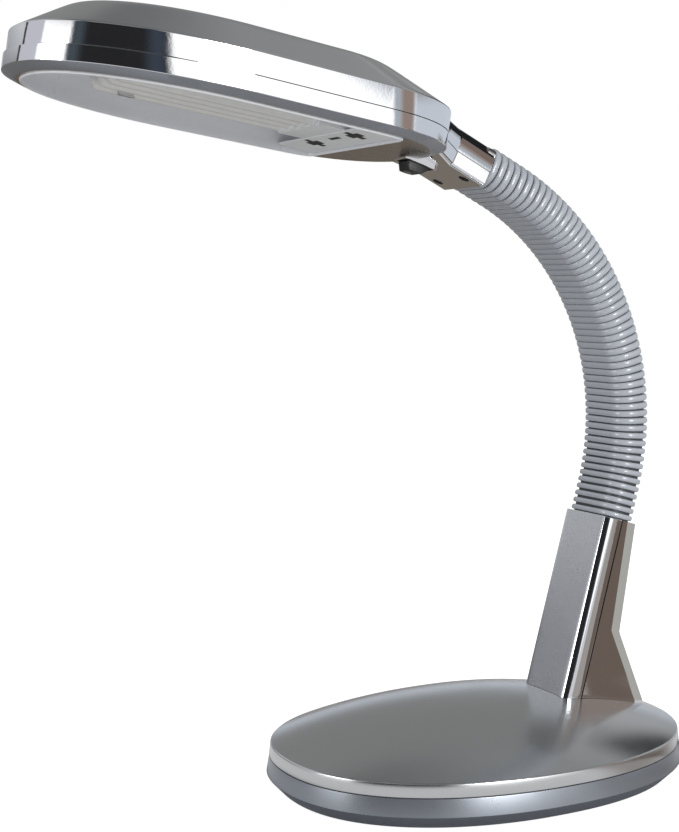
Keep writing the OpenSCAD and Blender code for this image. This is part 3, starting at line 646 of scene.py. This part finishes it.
def sleeveGraph():
    graph = Graph("sleeveRibs", {"Path": "Object", "Start": "Float", "End": "Float", "Count": "Int",
                                 "Width": "Float", "Depth": "Float", "Corner": "Float", "Rib Height": "Float",
                                 "First Length": "Float", "Last Length": "Float", "Rib Finish": "Material",
                                 "Groove Shade": "Material"})
    start = graph.start
    given = graph.given
    height = given["Rib Height"]

    def section(shrink):
        line = start.make("GeometryNodeCurvePrimitiveQuadrilateral", {"mode": "RECTANGLE"},
                          {"Width": given["Width"] - shrink * 2.0, "Height": given["Depth"] - shrink * 2.0})
        sockets = {"Curve": line, "Count": neckForm["cornerSteps"], "Radius": given["Corner"] - shrink}
        return start.make("GeometryNodeFilletCurve", {"mode": "POLY"}, {**sockets, "Limit Radius": True})

    def squared(value):
        size = start.maths("POWER", start.maths("ABSOLUTE", value), neckForm["beadPower"])
        return start.maths("SIGN", value) * size

    whole = start.make("GeometryNodeObjectInfo", {}, {"Object": given["Path"]}, "Geometry")
    part = start.make("GeometryNodeTrimCurve", {"mode": "FACTOR"},
                      {"Curve": whole, "Start": given["Start"], "End": given["End"]})
    smooth = start.make("GeometryNodeSetCurveNormal", {"mode": "Z_UP"}, {"Curve": part})
    dotted = start.make("GeometryNodeResampleCurve", {"mode": "COUNT"},
                        {"Curve": smooth, "Count": given["Count"] * 2.0 + 1.0})
    odd = start.maths("MODULO", start.make("GeometryNodeInputIndex", {}, {}), 2.0)
    tangent = start.make("GeometryNodeInputTangent", {}, {})
    aligned = start.make("FunctionNodeAlignRotationToVector", {"axis": "Z", "pivot_axis": "X"},
                         {"Vector": tangent})
    share = start.make("GeometryNodeSplineParameter", {}, {}, "Factor")
    sockets = {"Value": share, "To Min": given["First Length"], "To Max": given["Last Length"]}
    stretch = start.make("ShaderNodeMapRange", {}, sockets)
    scale = start.make("ShaderNodeCombineXYZ", {}, {"X": 1.0, "Y": 1.0, "Z": stretch})
    ringShape = start.make("GeometryNodeCurvePrimitiveCircle", {"mode": "RADIUS"},
                           {"Resolution": neckForm["beadSteps"], "Radius": 1.0}, "Curve")
    spot = start.make("GeometryNodeInputPosition", {}, {})
    sockets = {"X": squared(spot.split("X")) * height, "Y": squared(spot.split("Y")) * mm}
    size = start.make("ShaderNodeCombineXYZ", {}, sockets)
    bead = start.make("GeometryNodeSetPosition", {}, {"Geometry": ringShape, "Position": size})
    rib = start.make("GeometryNodeCurveToMesh", {}, {"Curve": section(height), "Profile Curve": bead})
    sockets = {"Points": dotted, "Selection": odd, "Instance": rib, "Rotation": aligned, "Scale": scale}
    ribs = start.make("GeometryNodeInstanceOnPoints", {}, sockets)
    # The core between the ribs is painted near black: painted shade in the grooves
    sockets = {"Curve": smooth, "Profile Curve": section(height * neckForm["groove"]), "Fill Caps": True}
    inner = start.make("GeometryNodeCurveToMesh", {}, sockets)
    dark = start.make("GeometryNodeSetMaterial", {}, {"Geometry": inner, "Material": given["Groove Shade"]})
    both = start.make("GeometryNodeJoinGeometry", {}, {"Geometry": [ribs, dark]})
    solid = start.make("GeometryNodeRealizeInstances", {}, {"Geometry": both})
    isDark = start.make("GeometryNodeMaterialSelection", {}, {"Material": given["Groove Shade"]})
    sockets = {"Geometry": solid, "Selection": 1.0 - isDark, "Material": given["Rib Finish"]}
    graph.end(start.make("GeometryNodeSetMaterial", {}, sockets))
    return graph


def makeNeck():
    n = Form(**neckForm)
    path = makePath()
    graph = sleeveGraph()
    last = n.stretches - 1
    stretch = n.length / n.stretches
    whole = n.length + n.past
    lengths = [stretch / n.ribs / 2 * share for share in n.ribLengths]
    for j in range(n.stretches):
        sleeve = graph.run(f"neckSleeve{j + 1}", {
            "Path": path, "Start": j * stretch / whole, "Count": n.ribs,
            "End": 1.0 if j == last else (j + 1) * stretch / whole,
            "Width": n.width * mm, "Depth": n.depth * mm, "Corner": n.corner * mm,
            "Rib Height": n.ribDepth * mm, "First Length": lengths[j], "Last Length": lengths[j + 1],
            "Rib Finish": materials["sleeveGrey"], "Groove Shade": materials["sleeveGrooveShade"]})
        neckPoint(j * stretch)
        neckPoint((j + 1) * stretch)
        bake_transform(sleeve)
        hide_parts(f"neck_sleeve_{j + 1}")
    bpy.data.objects.remove(path)


makeNeck()
print("neck built")


# Head: shells and collar. The edges are pairs of inset and height
headForm = dict(
    place=turned((0, -28.4474, 385.792), -8.7), front=75.2, rear=72.0, frontBow=110.0, rearBow=68.0,
    reach=264.2, gap=9.2, round=2.2, upper=12.0, crown=17.7, setBack=2.6, lowBack=1.2, parting=0.18,
    flank=0.732, bend=0.055, middle=-158.0, lower=-8.6, lip=-11.6, bezel=8.4, opening=11.7, openRear=56.0,
    openSoft=2.6, rearShare=0.25, wall=2.4, quarter=64, outerSteps=40, innerSteps=20, edge=0.12,
    crownShares=(0.99, 0.55), flatShares=(0.4, 0.2, 0), upperEdge=((0, -0.5), (0.05, -0.2), (0.22, 0.08)),
    lowerEdge=((0, 0.5), (0.06, 0.16), (0.3, -0.08)), bezelEdge=((-0.5, 0.22), (0, 0.06), (0.5, 0)),
    openEdge=((-0.5, 0), (-0.12, 0.12), (0, 0.5)), sharp=25)
collarForm = dict(
    place=turned((0, -1.66561, 372.498), 63.6), half=22.6, deep=13.5, lowDeep=14.0, corner=2.2,
    crownRound=2.4, start=3.2, flare=7.0, flareFrom=29.0, flareRun=13.0, startSize=[0.985, 0.972],
    spots=[3.7, *np.linspace(6, 28, 5), *np.linspace(29, 42, 14), 46, 50, 54, 57.9], topLevel=17.6,
    topSoft=0.7, tilt=17.7, reach=29.9, parting=-4.4, gap=0.2, edge=0.25, turnFrom=0.03, topSteps=28,
    cornerSteps=10, screws=[(-14.5, 13.4), (14.5, 13.4)], screwSink=1.1, bore=(3.3, -1, 2.6), sharp=28)


def headRing(inset, z, share=1.0, back=0.0):
    h = Form(**headForm)
    turn = np.linspace(0, np.pi / 2, h.quarter)
    curve = 2 / h.round
    frontX = (h.front - inset) * power(np.sin(turn), curve)
    frontY = h.frontBow - h.reach - (h.frontBow - inset - back) * power(np.cos(turn), curve)
    rearX = (h.rear - inset) * power(np.cos(turn), curve)
    rearY = -h.gap - h.rearBow + (h.rearBow - inset) * power(np.sin(turn), curve)
    x = np.concatenate((frontX, rearX, -rearX[-2::-1], -frontX[-1:0:-1]))
    y = np.concatenate((frontY, rearY, rearY[-2::-1], frontY[-1:0:-1]))
    y = h.middle + (y - h.middle) * share
    return level(x * share, y, z)


def openRing(extra, z):
    ring = headRing(headForm["opening"] + extra, z)
    rear = -headForm["openRear"] - headForm["rearShare"] * extra
    ring[:, 1] = smoothMin(ring[:, 1], rear, headForm["openSoft"])
    return ring


def headCrown(inset, drop, steps):
    h = Form(**headForm)
    rings = []
    for share in (*np.linspace(*h.crownShares, steps), *h.flatShares):
        rise = float(smoothMin((1 - share) / (1 - h.flank), 1, h.bend))
        rings.append(headRing(inset, h.upper - drop + h.crown * rise, share, h.setBack))
    return rings


def makeShells():
    h = Form(**headForm)
    wall = h.wall
    line = h.parting
    edge = h.edge

    def rings(steps, base, back):
        return [headRing(inset, base + z, 1, back) for inset, z in steps]

    inside = headCrown(wall, wall, h.innerSteps)[::-1] + rings([(wall, -wall)], h.upper, h.setBack)
    inside += rings([(wall, 0), (edge, 0)], line, h.setBack)
    rim = rings(h.upperEdge, h.upper, h.setBack)
    band = inside[-1:] + rings([(0, edge)], line, h.setBack) + rim[:2]
    crown = rim[1:] + headCrown(0, 0, h.outerSteps)
    parts = [(*skin(inside), "plasticDark"), (*skin(band), "mirrorChrome"), (*skin(crown), "crownSatin")]
    settle(build("headTop", parts, h.place, h.sharp), "head", "mirror_chrome", "head_top_shell")
    low = h.lower
    lip = h.lip
    band = rings([(wall, 0), (edge, 0), (0, -edge)], -line, h.lowBack)
    band += rings(h.lowerEdge, low, h.lowBack)
    # The bezel is painted dark slate, standing in for the chrome's reflection of the floor
    bezel = band[-1:] + [headRing(h.bezel + inset, lip + z) for inset, z in h.bezelEdge]
    floor = bezel[-1:] + [openRing(extra, lip + z) for extra, z in h.openEdge] + [openRing(0, lip + wall)]
    inside = [floor[-1], headRing(h.bezel + wall, lip + wall), headRing(wall, low + wall), band[0]]
    parts = [(*skin(band), "mirrorChrome"), (*skin(bezel), "slateBezel"), (*skin(floor), "underSatin"),
             (*skin(inside), "mirrorChrome")]
    settle(build("headLower", parts, h.place, h.sharp), "head", "mirror_chrome", "head_lower_shell")


def collarRing(z, upper):
    c = Form(**collarForm)
    edge = c.edge
    half = c.half + c.flare * max(0.0, min(1.0, (z - c.flareFrom) / c.flareRun))
    if upper:
        parting = c.parting
        turn = np.linspace(c.turnFrom, np.pi / 2, c.topSteps)
        cornerX = half * np.cos(turn) ** (2 / c.crownRound)
        cornerY = parting + edge + (c.deep - parting - edge) * np.sin(turn) ** (2 / c.crownRound)
    else:
        parting = c.gap - c.parting
        turn = np.linspace(0, np.pi / 2, c.cornerSteps)
        cornerX = half - c.corner + c.corner * np.cos(turn)
        cornerY = c.lowDeep - c.corner + c.corner * np.sin(turn)
    x = np.concatenate(([half - edge, half], cornerX, -cornerX[::-1], [-half, -half + edge]))
    y = np.concatenate(([parting, parting + edge], cornerY, cornerY[::-1], [parting + edge, parting]))
    if upper:
        tilt = radians(c.tilt)
        limit = (c.topLevel - (z - c.reach) * sin(tilt)) / cos(tilt)
        y = np.where(y > 1, smoothMin(y, limit, c.topSoft), y)
    else:
        y = -y
    return level(x, y, z)


def makeCollar():
    c = Form(**collarForm)
    halves = (("collarTop", True, "head_top_shell"), ("collarLow", False, "head_lower_shell"))
    for name, upper, node in halves:
        rings = [collarRing(z, upper) for z in c.spots]
        first = rings[0].copy()
        first[:, :2] *= c.startSize
        first[:, 2] = c.start
        shape = skin([first] + rings, capped=True)
        half = build(name, [(*shape, "mirrorChrome")], c.place, c.sharp)
        if not upper:
            # The screw bores take the cutters' dark finish: painted shade in the recesses
            places = [c.place @ turned((x, -c.lowDeep, z), -90) for x, z in c.screws]
            cut(half, [build("bore", [(*cylinder(*c.bore), "plasticDark")], place) for place in places])
        settle(half, "head", "mirror_chrome", node)


makeShells()
makeCollar()
print("head shells built")


# Screws: one head with a cross recess, set out by geometry nodes
screwForm = dict(
    profile=[(2.3, 0), (2.68, 0.12), (2.8, 0.45), (2.8, 1.5), (1.7, 1.5), (1.7, 8.0)], points=32,
    crossLong=1.6, crossBar=0.425, crossDeep=0.8, collarTurn=-26.4, baseSink=0.85, baseSize=1.285)


def screwGraph():
    graph = Graph("screwSet", {"Screw": "Object", "Places": "Object", "Turn": "Rotation", "Size": "Vector",
                               "Finish": "Material"})
    start = graph.start
    given = graph.given
    screw = start.make("GeometryNodeObjectInfo", {}, {"Object": given["Screw"]}, "Geometry")
    spots = start.make("GeometryNodeObjectInfo", {}, {"Object": given["Places"]}, "Geometry")
    sockets = {"Points": spots, "Instance": screw, "Rotation": given["Turn"], "Scale": given["Size"]}
    placed = start.make("GeometryNodeInstanceOnPoints", {}, sockets)
    solid = start.make("GeometryNodeRealizeInstances", {}, {"Geometry": placed})
    graph.end(start.make("GeometryNodeSetMaterial", {}, {"Geometry": solid, "Material": given["Finish"]}))
    return graph


def makeScrew():
    s = Form(**screwForm)
    screw = build("screwSource", [(*lathe(s.profile, s.points), "steel")])
    cutters = []
    for wide, tall in ((s.crossLong, s.crossBar), (s.crossBar, s.crossLong)):
        bar = block((-wide, -tall, -1), (wide, tall, s.crossDeep))
        cutters.append(build("crossBar", [(*bar, "steel")]))
    return cut(screw, cutters)


def makeScrews():
    screw = makeScrew()
    graph = screwGraph()
    c = Form(**collarForm)
    s = Form(**screwForm)
    collarSpots = [c.place @ Vector((x, c.screwSink - c.lowDeep, z)) * mm for x, z in c.screws]
    baseSpots = [Vector((x, y, s.baseSink)) * mm for x, y in baseForm["screws"]]
    sets = [("collarScrews", collarSpots, s.collarTurn, 1, "head", "collar_screws"),
            ("baseScrews", baseSpots, 0, s.baseSize, "base", "base_screws")]
    for name, spots, tilt, size, body, node in sets:
        mesh = bpy.data.meshes.new("spots")
        mesh.from_pydata(spots, [], [])
        places = link("spots", mesh)
        turn = rotation(tilt).to_euler()
        piece = graph.run(name, {"Screw": screw, "Places": places, "Turn": turn, "Size": (size, size, 1),
                                 "Finish": materials["steel"]})
        settle(piece, body, "steel", node)
        bpy.data.objects.remove(places)
    bpy.data.objects.remove(screw)


makeScrews()
print("screws set")


# Reflector tray, bulb, cover plate and clip in the opening
lampForm = dict(
    flangeZ=-8.71, skin=1.2, ceiling=5.4, inset=14.0, steps=16, curve=0.9, seat=0.1, flange=-2, sharp=40,
    bead=((0.9, 0), (0.7, -0.8), (0.3, -1.1), (-0.4, -1.0), (-0.8, -0.4), (-0.8, 0.05), (0.1, 0.05)))
bulbForm = dict(
    tubes=4, tube=5.5, sink=1, length=118.0, pitch=13.0, axis=-2.5, back=93.7, points=32, endTurn=1.55,
    endSteps=9, bridge=2.75, bridgePoints=24, bridgeFront=11, bridgeBack=5.5, baseBack=69.7, baseHalf=26.0,
    baseLow=5.8, baseHigh=6.9, socket=0.35, socketLong=3, socketSink=0.5, bevel=0.5, sharp=50)
plateForm = dict(
    z=-10.9, front=99.7, spare=4, thick=1.2, edge=0.25, inset=2.0, crossX=24.4, crossY=69.4,
    cross=(7.6, 3.0, 6.6), slotLow=(-4, -72.4), slotHigh=(9, -69.0), dot=(37.6, -93.7), dotRadius=3,
    dotPoints=24, rampFrom=57.0, ramp=0.1)
clipForm = dict(
    half=13.45, inner=12.55, long=4.5, thick=0.9, along=0.84, under=0.1, foot=1.2, shortEnd=2,
    hook=(-13, -10), bevel=0.2)


def makeReflector():
    f = Form(**lampForm)
    rings = []
    for angle in np.radians(np.linspace(0, 90, f.steps)):
        extra = f.inset * (1 - cos(angle)) ** f.curve + f.skin
        z = f.flangeZ + (f.ceiling - f.flangeZ) * sin(angle) ** f.curve
        rings.append(openRing(extra, z))
    flange = [openRing(extra, headForm["lip"] + z) for extra, z in f.bead]
    flange += [openRing(f.seat, f.flangeZ), openRing(f.flange, f.flangeZ),
               openRing(f.flange, f.flangeZ + f.skin)]
    outer = [ring + [0, 0, f.skin] for ring in rings[1:]]
    shape = skin(rings[::-1] + flange + outer, capped=True)
    tray = build("reflectorTray", [(*shape, "reflectorWhite")], headForm["place"], f.sharp)
    settle(tray, "head", "white_paint", "reflector")


def tube(x, start, end, radius, rounded):
    b = Form(**bulbForm)
    across, along = circle(b.points)
    stops = [(start, radius)]
    if rounded:
        stops += [(end + radius - radius * sin(a), radius * cos(a))
                  for a in np.linspace(0, b.endTurn, b.endSteps)]
    else:
        stops += [(end, radius)]
    return skin([np.column_stack((x + r * across, np.full(len(along), y), b.axis + r * along))
                 for y, r in stops], capped=True)


def makeBulb():
    b = Form(**bulbForm)
    back = -b.back
    end = back - b.length
    spots = [(i - (b.tubes - 1) / 2) * b.pitch for i in range(b.tubes)]
    parts = [(*tube(x, back + b.sink, end, b.tube, True), "bulbGlass") for x in spots]
    across, along = circle(b.bridgePoints)
    for i, y in ((0, end + b.bridgeFront), (2, end + b.bridgeFront), (1, back - b.bridgeBack)):
        rings = [np.column_stack((np.full(len(along), x), y + b.bridge * across,
                                  b.axis + b.bridge * along)) for x in spots[i:i + 2]]
        parts.append((*skin(rings, capped=True), "bulbGlass"))
    tubes = build("bulbTubes", parts, headForm["place"], b.sharp)
    settle(tubes, "head", "bulb_glass", "bulb_tubes")
    body = block((-b.baseHalf, back, b.axis - b.baseLow),
                 (b.baseHalf, -b.baseBack, b.axis + b.baseHigh))
    parts = [(*body, "plasticWhite")]
    for x in spots:
        socket = tube(x, back + b.socketSink, back - b.socketLong, b.tube + b.socket, False)
        parts.append((*socket, "plasticWhite"))
    base = bevelled(build("bulbBase", parts, headForm["place"]), b.bevel)
    settle(base, "head", "white_plastic", "bulb_base")


# The cover plate slopes down towards the front
def plate(name, loops, finish):
    p = Form(**plateForm)
    data = bpy.data.curves.new(name, "CURVE")
    data.dimensions = "2D"
    data.fill_mode = "BOTH"
    data.extrude = (p.thick / 2 - p.edge) * mm
    data.bevel_depth = p.edge * mm
    data.bevel_resolution = 2
    data.offset = -p.edge * mm
    for loop in loops:
        addLoop(data, [(x * mm, y * mm, 0) for x, y in loop], True)
    mesh = drawnMesh(link(name, data), finish)
    for vert in mesh.vertices:
        vert.co.z -= (vert.co.y + p.rampFrom * mm) * p.ramp
    shift = headForm["place"].copy()
    shift.translation = shift.translation * mm
    mesh.transform(shift @ Matrix.Translation((0, 0, (p.z + p.thick / 2) * mm)))
    tidyMesh(mesh, meshForm["sharp"])
    return link(name, mesh)


def crossLoop(x, y):
    a, b, c = plateForm["cross"]
    return [(x - a, y - b), (x - b, y - b), (x - b, y - c), (x + b, y - c), (x + b, y - b), (x + a, y - b),
            (x + a, y + b), (x + b, y + b), (x + b, y + c), (x - b, y + c), (x - b, y + b), (x - a, y + b)]


def makePlate():
    p = Form(**plateForm)
    ring = openRing(p.inset, 0)
    outline = [(x, max(y, -p.front)) for x, y, z in ring if y > -p.front - p.spare]
    openings = [crossLoop(side * p.crossX, -p.crossY) for side in (-1, 1)]
    (x0, y0), (x1, y1) = p.slotLow, p.slotHigh
    openings.append([(x0, y0), (x1, y0), (x1, y1), (x0, y1)])
    dot = [np.array(p.dot) + p.dotRadius * np.array(spot) for spot in zip(*circle(p.dotPoints))]
    cover = plate("socketCover", [outline] + openings + [dot], "plasticWhite")
    settle(cover, "head", "white_plastic", "socket_cover")
    # Black pads just inside the plate's openings: painted shade where the lamp holder shows through
    parts = []
    for loop in openings:
        rings = [level(*np.transpose(loop), z) for z in (0.0, p.thick)]
        points, faces = skin(rings, capped=True)
        points[:, 2] += p.z + p.edge + (-points[:, 1] - p.rampFrom) * p.ramp
        parts.append((points, faces, "plasticBlack"))
    settle(build("socketContacts", parts, headForm["place"]), "head", "black_plastic")


def makeClip():
    c = Form(**clipForm)
    b = Form(**bulbForm)
    middle = -b.back - c.along * b.length
    top = lampForm["ceiling"] - c.under
    foot = b.axis - b.tube - c.foot
    spans = [(-c.half, c.half, top - c.thick, top),
             (c.inner, c.half, b.axis - c.shortEnd, top),
             (-c.half, -c.inner, foot, top), (*c.hook, foot, foot + c.thick)]
    parts = [(*block((left, middle - c.long, low), (right, middle + c.long, high)), "steel")
             for left, right, low, high in spans]
    clip = bevelled(build("bulbClip", parts, headForm["place"]), c.bevel, 2)
    settle(clip, "head", "steel", "bulb_clip")


makeReflector()
makeBulb()
makePlate()
makeClip()
print("lamp fitted")


# Switch: chrome fairing, housing and rocker. The steps are growth, height, corner and whether it is wedged
switchForm = dict(
    place=headForm["place"] @ turned((0, -14.4, -12.9), 3), side=6.6, half=9.4, front=0.9, rear=-3.2,
    cornerSteps=8, sharp=30,
    fairing=((2.1, 4, 3, 0), (1.5, 0.7, 2.4, 1), (1.25, 0.2, 2.2, 1), (0.7, 0, 1.8, 1), (0, 0, 1, 1),
             (0, 4, 1, 0)),
    housing=((-0.1, 7.5, 1, 0), (-0.1, 0.3, 1, 1), (-0.4, 0, 0.9, 1), (-0.5, 0, 0.5, 1), (-0.5, 5.6, 0.5, 0)))
rockerForm = dict(
    half=8.4, width=11.6, end=4.6, shoulder=6.3, apex=7.6, back=2.6, tilt=12.0, pivot=1.0, bevel=0.6,
    print=2.6, printAt=0.72, printLift=0.25)


def boxRing(grow, z, corner, wedged):
    s = Form(**switchForm)
    side = s.side + grow - corner
    half = s.half + grow - corner
    turn = np.linspace(0, np.pi / 2, s.cornerSteps)
    spots = []
    for q, (sx, sy) in enumerate(((1, 1), (-1, 1), (-1, -1), (1, -1))):
        for a in turn + q * np.pi / 2:
            spots.append((sx * side + corner * cos(a), sy * half + corner * sin(a), z))
    ring = np.array(spots, float)
    share = (ring[:, 1] + s.half) / (2 * s.half)
    ring[:, 2] += wedged * (s.front + (s.rear - s.front) * share)
    return ring


def makeSwitch():
    s = Form(**switchForm)
    shape = skin([boxRing(*step) for step in s.fairing], closed=True)
    fairing = build("switchFairing", [(*shape, "mirrorChrome")], s.place, s.sharp)
    settle(fairing, "head", "mirror_chrome", "head_lower_shell")
    shape = skin([boxRing(*step) for step in s.housing], capped=True)
    housing = build("switchHousing", [(*shape, "plasticBlack")], s.place, s.sharp)
    settle(housing, "head", "black_plastic", "switch_housing")


def makeRocker():
    r = Form(**rockerForm)
    half = r.half
    profile = [(-half, r.pivot), (-half, -r.end), (-half * 0.5, -r.shoulder), (0, -r.apex),
               (half * 0.5, -r.shoulder), (half, -r.end), (half, r.pivot), (0, r.back)]
    rings = [np.array([(x, y, z) for y, z in profile]) for x in (-r.width / 2, r.width / 2)]
    place = switchForm["place"] @ turned((0, 0, r.pivot), r.tilt)
    rocker = build("switchRocker", [(*skin(rings, capped=True), "plasticBlack")], place)
    settle(bevelled(rocker, r.bevel), "rocker", "black_plastic", "switch_rocker")
    data = bpy.data.curves.new("offPrint", "FONT")
    data.body = "OFF"
    data.size = r.print * mm
    data.align_x = "CENTER"
    data.align_y = "CENTER"
    mesh = drawnMesh(link("offPrint", data), "printWhite")
    slope = atan2(r.shoulder - r.end, half * 0.5)
    height = -(r.end + r.shoulder) / 2 - r.printLift
    spot = place @ Matrix.Translation((0, -half * r.printAt, height)) @ Matrix.Rotation(-slope, 4, "X")
    spot.translation = spot.translation * mm
    faceDown = Matrix(((0, 1, 0, 0), (1, 0, 0, 0), (0, 0, -1, 0), (0, 0, 0, 1)))
    mesh.transform(spot @ faceDown)
    settle(link("offPrint", mesh), "rocker", "white_plastic")


makeSwitch()
makeRocker()
print("switch fitted")


# Stage: pale floor, soft lights, and surroundings for the metal to mirror
stageForm = dict(
    floor=1.6, floorGlow=0.85, floorGrey=0.55, aim=(0, -0.05, 0.25), cardY=0.17, cardFade=(0.32, 0.4))
lights = [("keyLight", (1.9, 0.25, 0.7), (0.7, 0.8), 24.0),
          ("frontLight", (0.0, -1.95, 0.7), (0.7, 0.7), 9.0)]
cards = [("brownCard", (0.065, 0.455), (0.19, 0.56), (0.2, 0.15, 0.13)),
         ("darkCard", (-0.18, 0.44), (0.065, 0.56), (0.015, 0.015, 0.016))]
floorTones = dict(
    front=(0.66, 0.66, 0.67), side=(0.36, 0.335, 0.32), beyond=(0.19, 0.165, 0.14),
    behind=(0.15, 0.115, 0.095), rear=(0.42, 0.415, 0.385), under=(0.13, 0.14, 0.155))
floorZones = dict(
    slant=0.797, side=(-0.06, 0.0), behind=(0.063, 0.074), right=(0.03, 0.12), left=(-0.34, -0.22),
    front=(0.25, 0.4), farLeft=(-0.9, -0.65), rear=(0.2, 0.3), rearRight=(0.12, 0.17), rearLeft=(-0.2, -0.12),
    underWide=100.0, underLong=55.0, under=(1.15, 1.65))
# Gradients by rise in degrees, then bands by turn with their softness, the later over the earlier
skyRamps = dict(
    far=(5, 15, (0.58, 0.62, 0.68), (0.26, 0.265, 0.262)),
    white=(24, 33, (1.25, 1.25, 1.25), (0.5, 0.505, 0.51)),
    left=(2, 22, (0.13, 0.13, 0.15), (0.6, 0.615, 0.64)),
    dark=(31, 40, (0.02, 0.02, 0.022), (0.3, 0.305, 0.31)))
farPatches = [((76, 126, 5), (14, 46, 4), (0.50, 0.51, 0.52)),
              ((127, 136, 2), (12, 30, 4), (0.46, 0.47, 0.48)),
              ((108, 125, 2), (21, 41, 3), (0.02, 0.022, 0.022))]
skyBands = [(55, 181, 4, "far"), (-181, -142, 2, "left"), (-142, -111, 2, (0.56, 0.56, 0.61)),
            (-143, -139, 1.5, (0.03, 0.03, 0.03)), (34, 55, 2, (0.42, 0.45, 0.49)),
            (41, 54, 3, (0.3, 0.235, 0.2)), (-76, -9, 3, "dark"), (-75, -65, 5, (0.06, 0.075, 0.09)),
            (-20, -11, 4, (0.045, 0.055, 0.075))]
skyZones = dict(lowFar=(100, 181, 6), horizon=(-3, 0), roof=(46, 56), roofDepth=(0.1, 0.9))
skyTones = dict(
    lowFar=(0.2, 0.175, 0.155), roofFront=(0.17, 0.175, 0.176), roofRear=(0.46, 0.47, 0.475),
    plain=(0.62, 0.63, 0.645), seen=(1, 1, 1))


def emptyTree(owner):
    owner.use_nodes = True
    owner.node_tree.nodes.clear()
    return Value(owner.node_tree)


def rayKind(start, label):
    return start.make("ShaderNodeLightPath", {}, {}, label)


# A square of the stage with a shader mixed from two
def makeSheet(name, materialName, corners, mixed):
    mesh = bpy.data.meshes.new(name)
    mesh.from_pydata(corners, [], [(0, 1, 2, 3)])
    sheet = link(name, mesh)
    material = bpy.data.materials.new(materialName)
    start = emptyTree(material)
    share, first, second = mixed(start)
    both = start.make("ShaderNodeMixShader", {}, {0: share, 1: first, 2: second})
    sink = start.tree.nodes.new("ShaderNodeOutputMaterial")
    start.tree.links.new(both.socket, sink.inputs["Surface"])
    mesh.materials.append(material)
    return sheet


# The camera sees a white floor, the metal mirrors painted zones
def floorShader(start):
    tones = Form(**floorTones)
    grey = stageForm["floorGrey"]
    plain = start.make("ShaderNodeBsdfDiffuse", {}, {"Color": colour(grey, grey, grey)})
    spot = start.make("ShaderNodeTexCoord", {}, {}, "Object")
    x = spot.split(0)
    y = spot.split(1)
    form = Form(**floorZones)
    across = y - x * form.slant
    right = x.ramp(*form.right)
    beyond = x.drop(*form.left) * y.drop(*form.front)
    beyond = start.maths("MAXIMUM", beyond, x.drop(*form.farLeft))
    rear = y.ramp(*form.rear) * x.drop(*form.rearRight) * x.ramp(*form.rearLeft)
    # under: a dark zone round the lamp's foot, painted shade seen only in the metal
    under = (x * x * form.underWide + y * y * form.underLong).drop(*form.under)
    shown = (across.ramp(*form.side) * right).tint(tones.front, tones.side)
    shown = beyond.tint(shown, tones.beyond)
    shown = (across.ramp(*form.behind) * right).tint(shown, tones.behind)
    shown = rear.tint(shown, tones.rear)
    shown = under.tint(shown, tones.under)
    painted = start.make("ShaderNodeEmission", {}, {"Color": shown})
    strength = rayKind(start, "Is Camera Ray") * stageForm["floorGlow"]
    glow = start.make("ShaderNodeEmission", {}, {"Strength": strength})
    lit = start.make("ShaderNodeAddShader", {}, {0: plain, 1: glow})
    return rayKind(start, "Is Glossy Ray"), lit, painted


def makeFloor():
    side = stageForm["floor"]
    corners = [(-side, -side, 0), (side, -side, 0), (side, side, 0), (-side, side, 0)]
    makeSheet("floor", "floorWhite", corners, floorShader)


def makeLight(name, spot, size, energy):
    data = bpy.data.lights.new(name, "AREA")
    data.shape = "RECTANGLE"
    data.size = size[0]
    data.size_y = size[1]
    data.energy = energy
    lamp = link(name, data)
    lamp.location = spot
    lamp.rotation_euler = (Vector(stageForm["aim"]) - Vector(spot)).to_track_quat("-Z", "Y").to_euler()


# Cards behind the collar, seen only in the metal
def makeCard(name, low, high, tone):
    def cardShader(start):
        glow = start.make("ShaderNodeEmission", {}, {"Color": colour(*tone)})
        clear = start.make("ShaderNodeBsdfTransparent", {}, {})
        return rayKind(start, "Ray Length").ramp(*stageForm["cardFade"]), glow, clear

    y = stageForm["cardY"]
    corners = [(low[0], y, low[1]), (high[0], y, low[1]), (high[0], y, high[1]), (low[0], y, high[1])]
    card = makeSheet(name, name, corners, cardShader)
    card.visible_camera = False
    card.visible_diffuse = False
    card.visible_shadow = False


def makeWorld():
    world = bpy.data.worlds.new("studio")
    scene.world = world
    start = emptyTree(world)
    way = start.make("ShaderNodeTexCoord", {}, {}, "Generated")
    x, y, z = [way.split(i) for i in range(3)]
    turn = start.maths("ARCTAN2", y, x) * (180 / pi)
    rise = start.maths("ARCSINE", z) * (180 / pi)

    def band(angle, low, high, soft):
        return angle.ramp(low - soft, low + soft) * angle.drop(high - soft, high + soft)

    ramps = {name: rise.ramp(low, high).tint(*tones) for name, (low, high, *tones) in skyRamps.items()}
    for turns, rises, tone in farPatches:
        ramps["far"] = (band(turn, *turns) * band(rise, *rises)).tint(ramps["far"], tone)
    shown = ramps["white"]
    for low, high, soft, tone in skyBands:
        shown = band(turn, low, high, soft).tint(shown, ramps.get(tone, tone))
    tones = Form(**skyTones)
    zones = Form(**skyZones)
    shown = (band(turn, *zones.lowFar) * rise.drop(*zones.horizon)).tint(shown, tones.lowFar)
    roof = y.ramp(*zones.roofDepth).tint(tones.roofFront, tones.roofRear)
    shown = rise.ramp(*zones.roof).tint(shown, roof)
    plain = rayKind(start, "Is Camera Ray").tint(tones.plain, tones.seen)
    shown = rayKind(start, "Is Glossy Ray").tint(plain, shown)
    glow = start.make("ShaderNodeBackground", {}, {"Color": shown, "Strength": 1.0})
    sink = start.tree.nodes.new("ShaderNodeOutputWorld")
    start.tree.links.new(glow.socket, sink.inputs["Surface"])


makeFloor()
for light in lights:
    makeLight(*light)
for card in cards:
    makeCard(*card)
makeWorld()
scene.view_settings.view_transform = "Standard"
print("stage set")
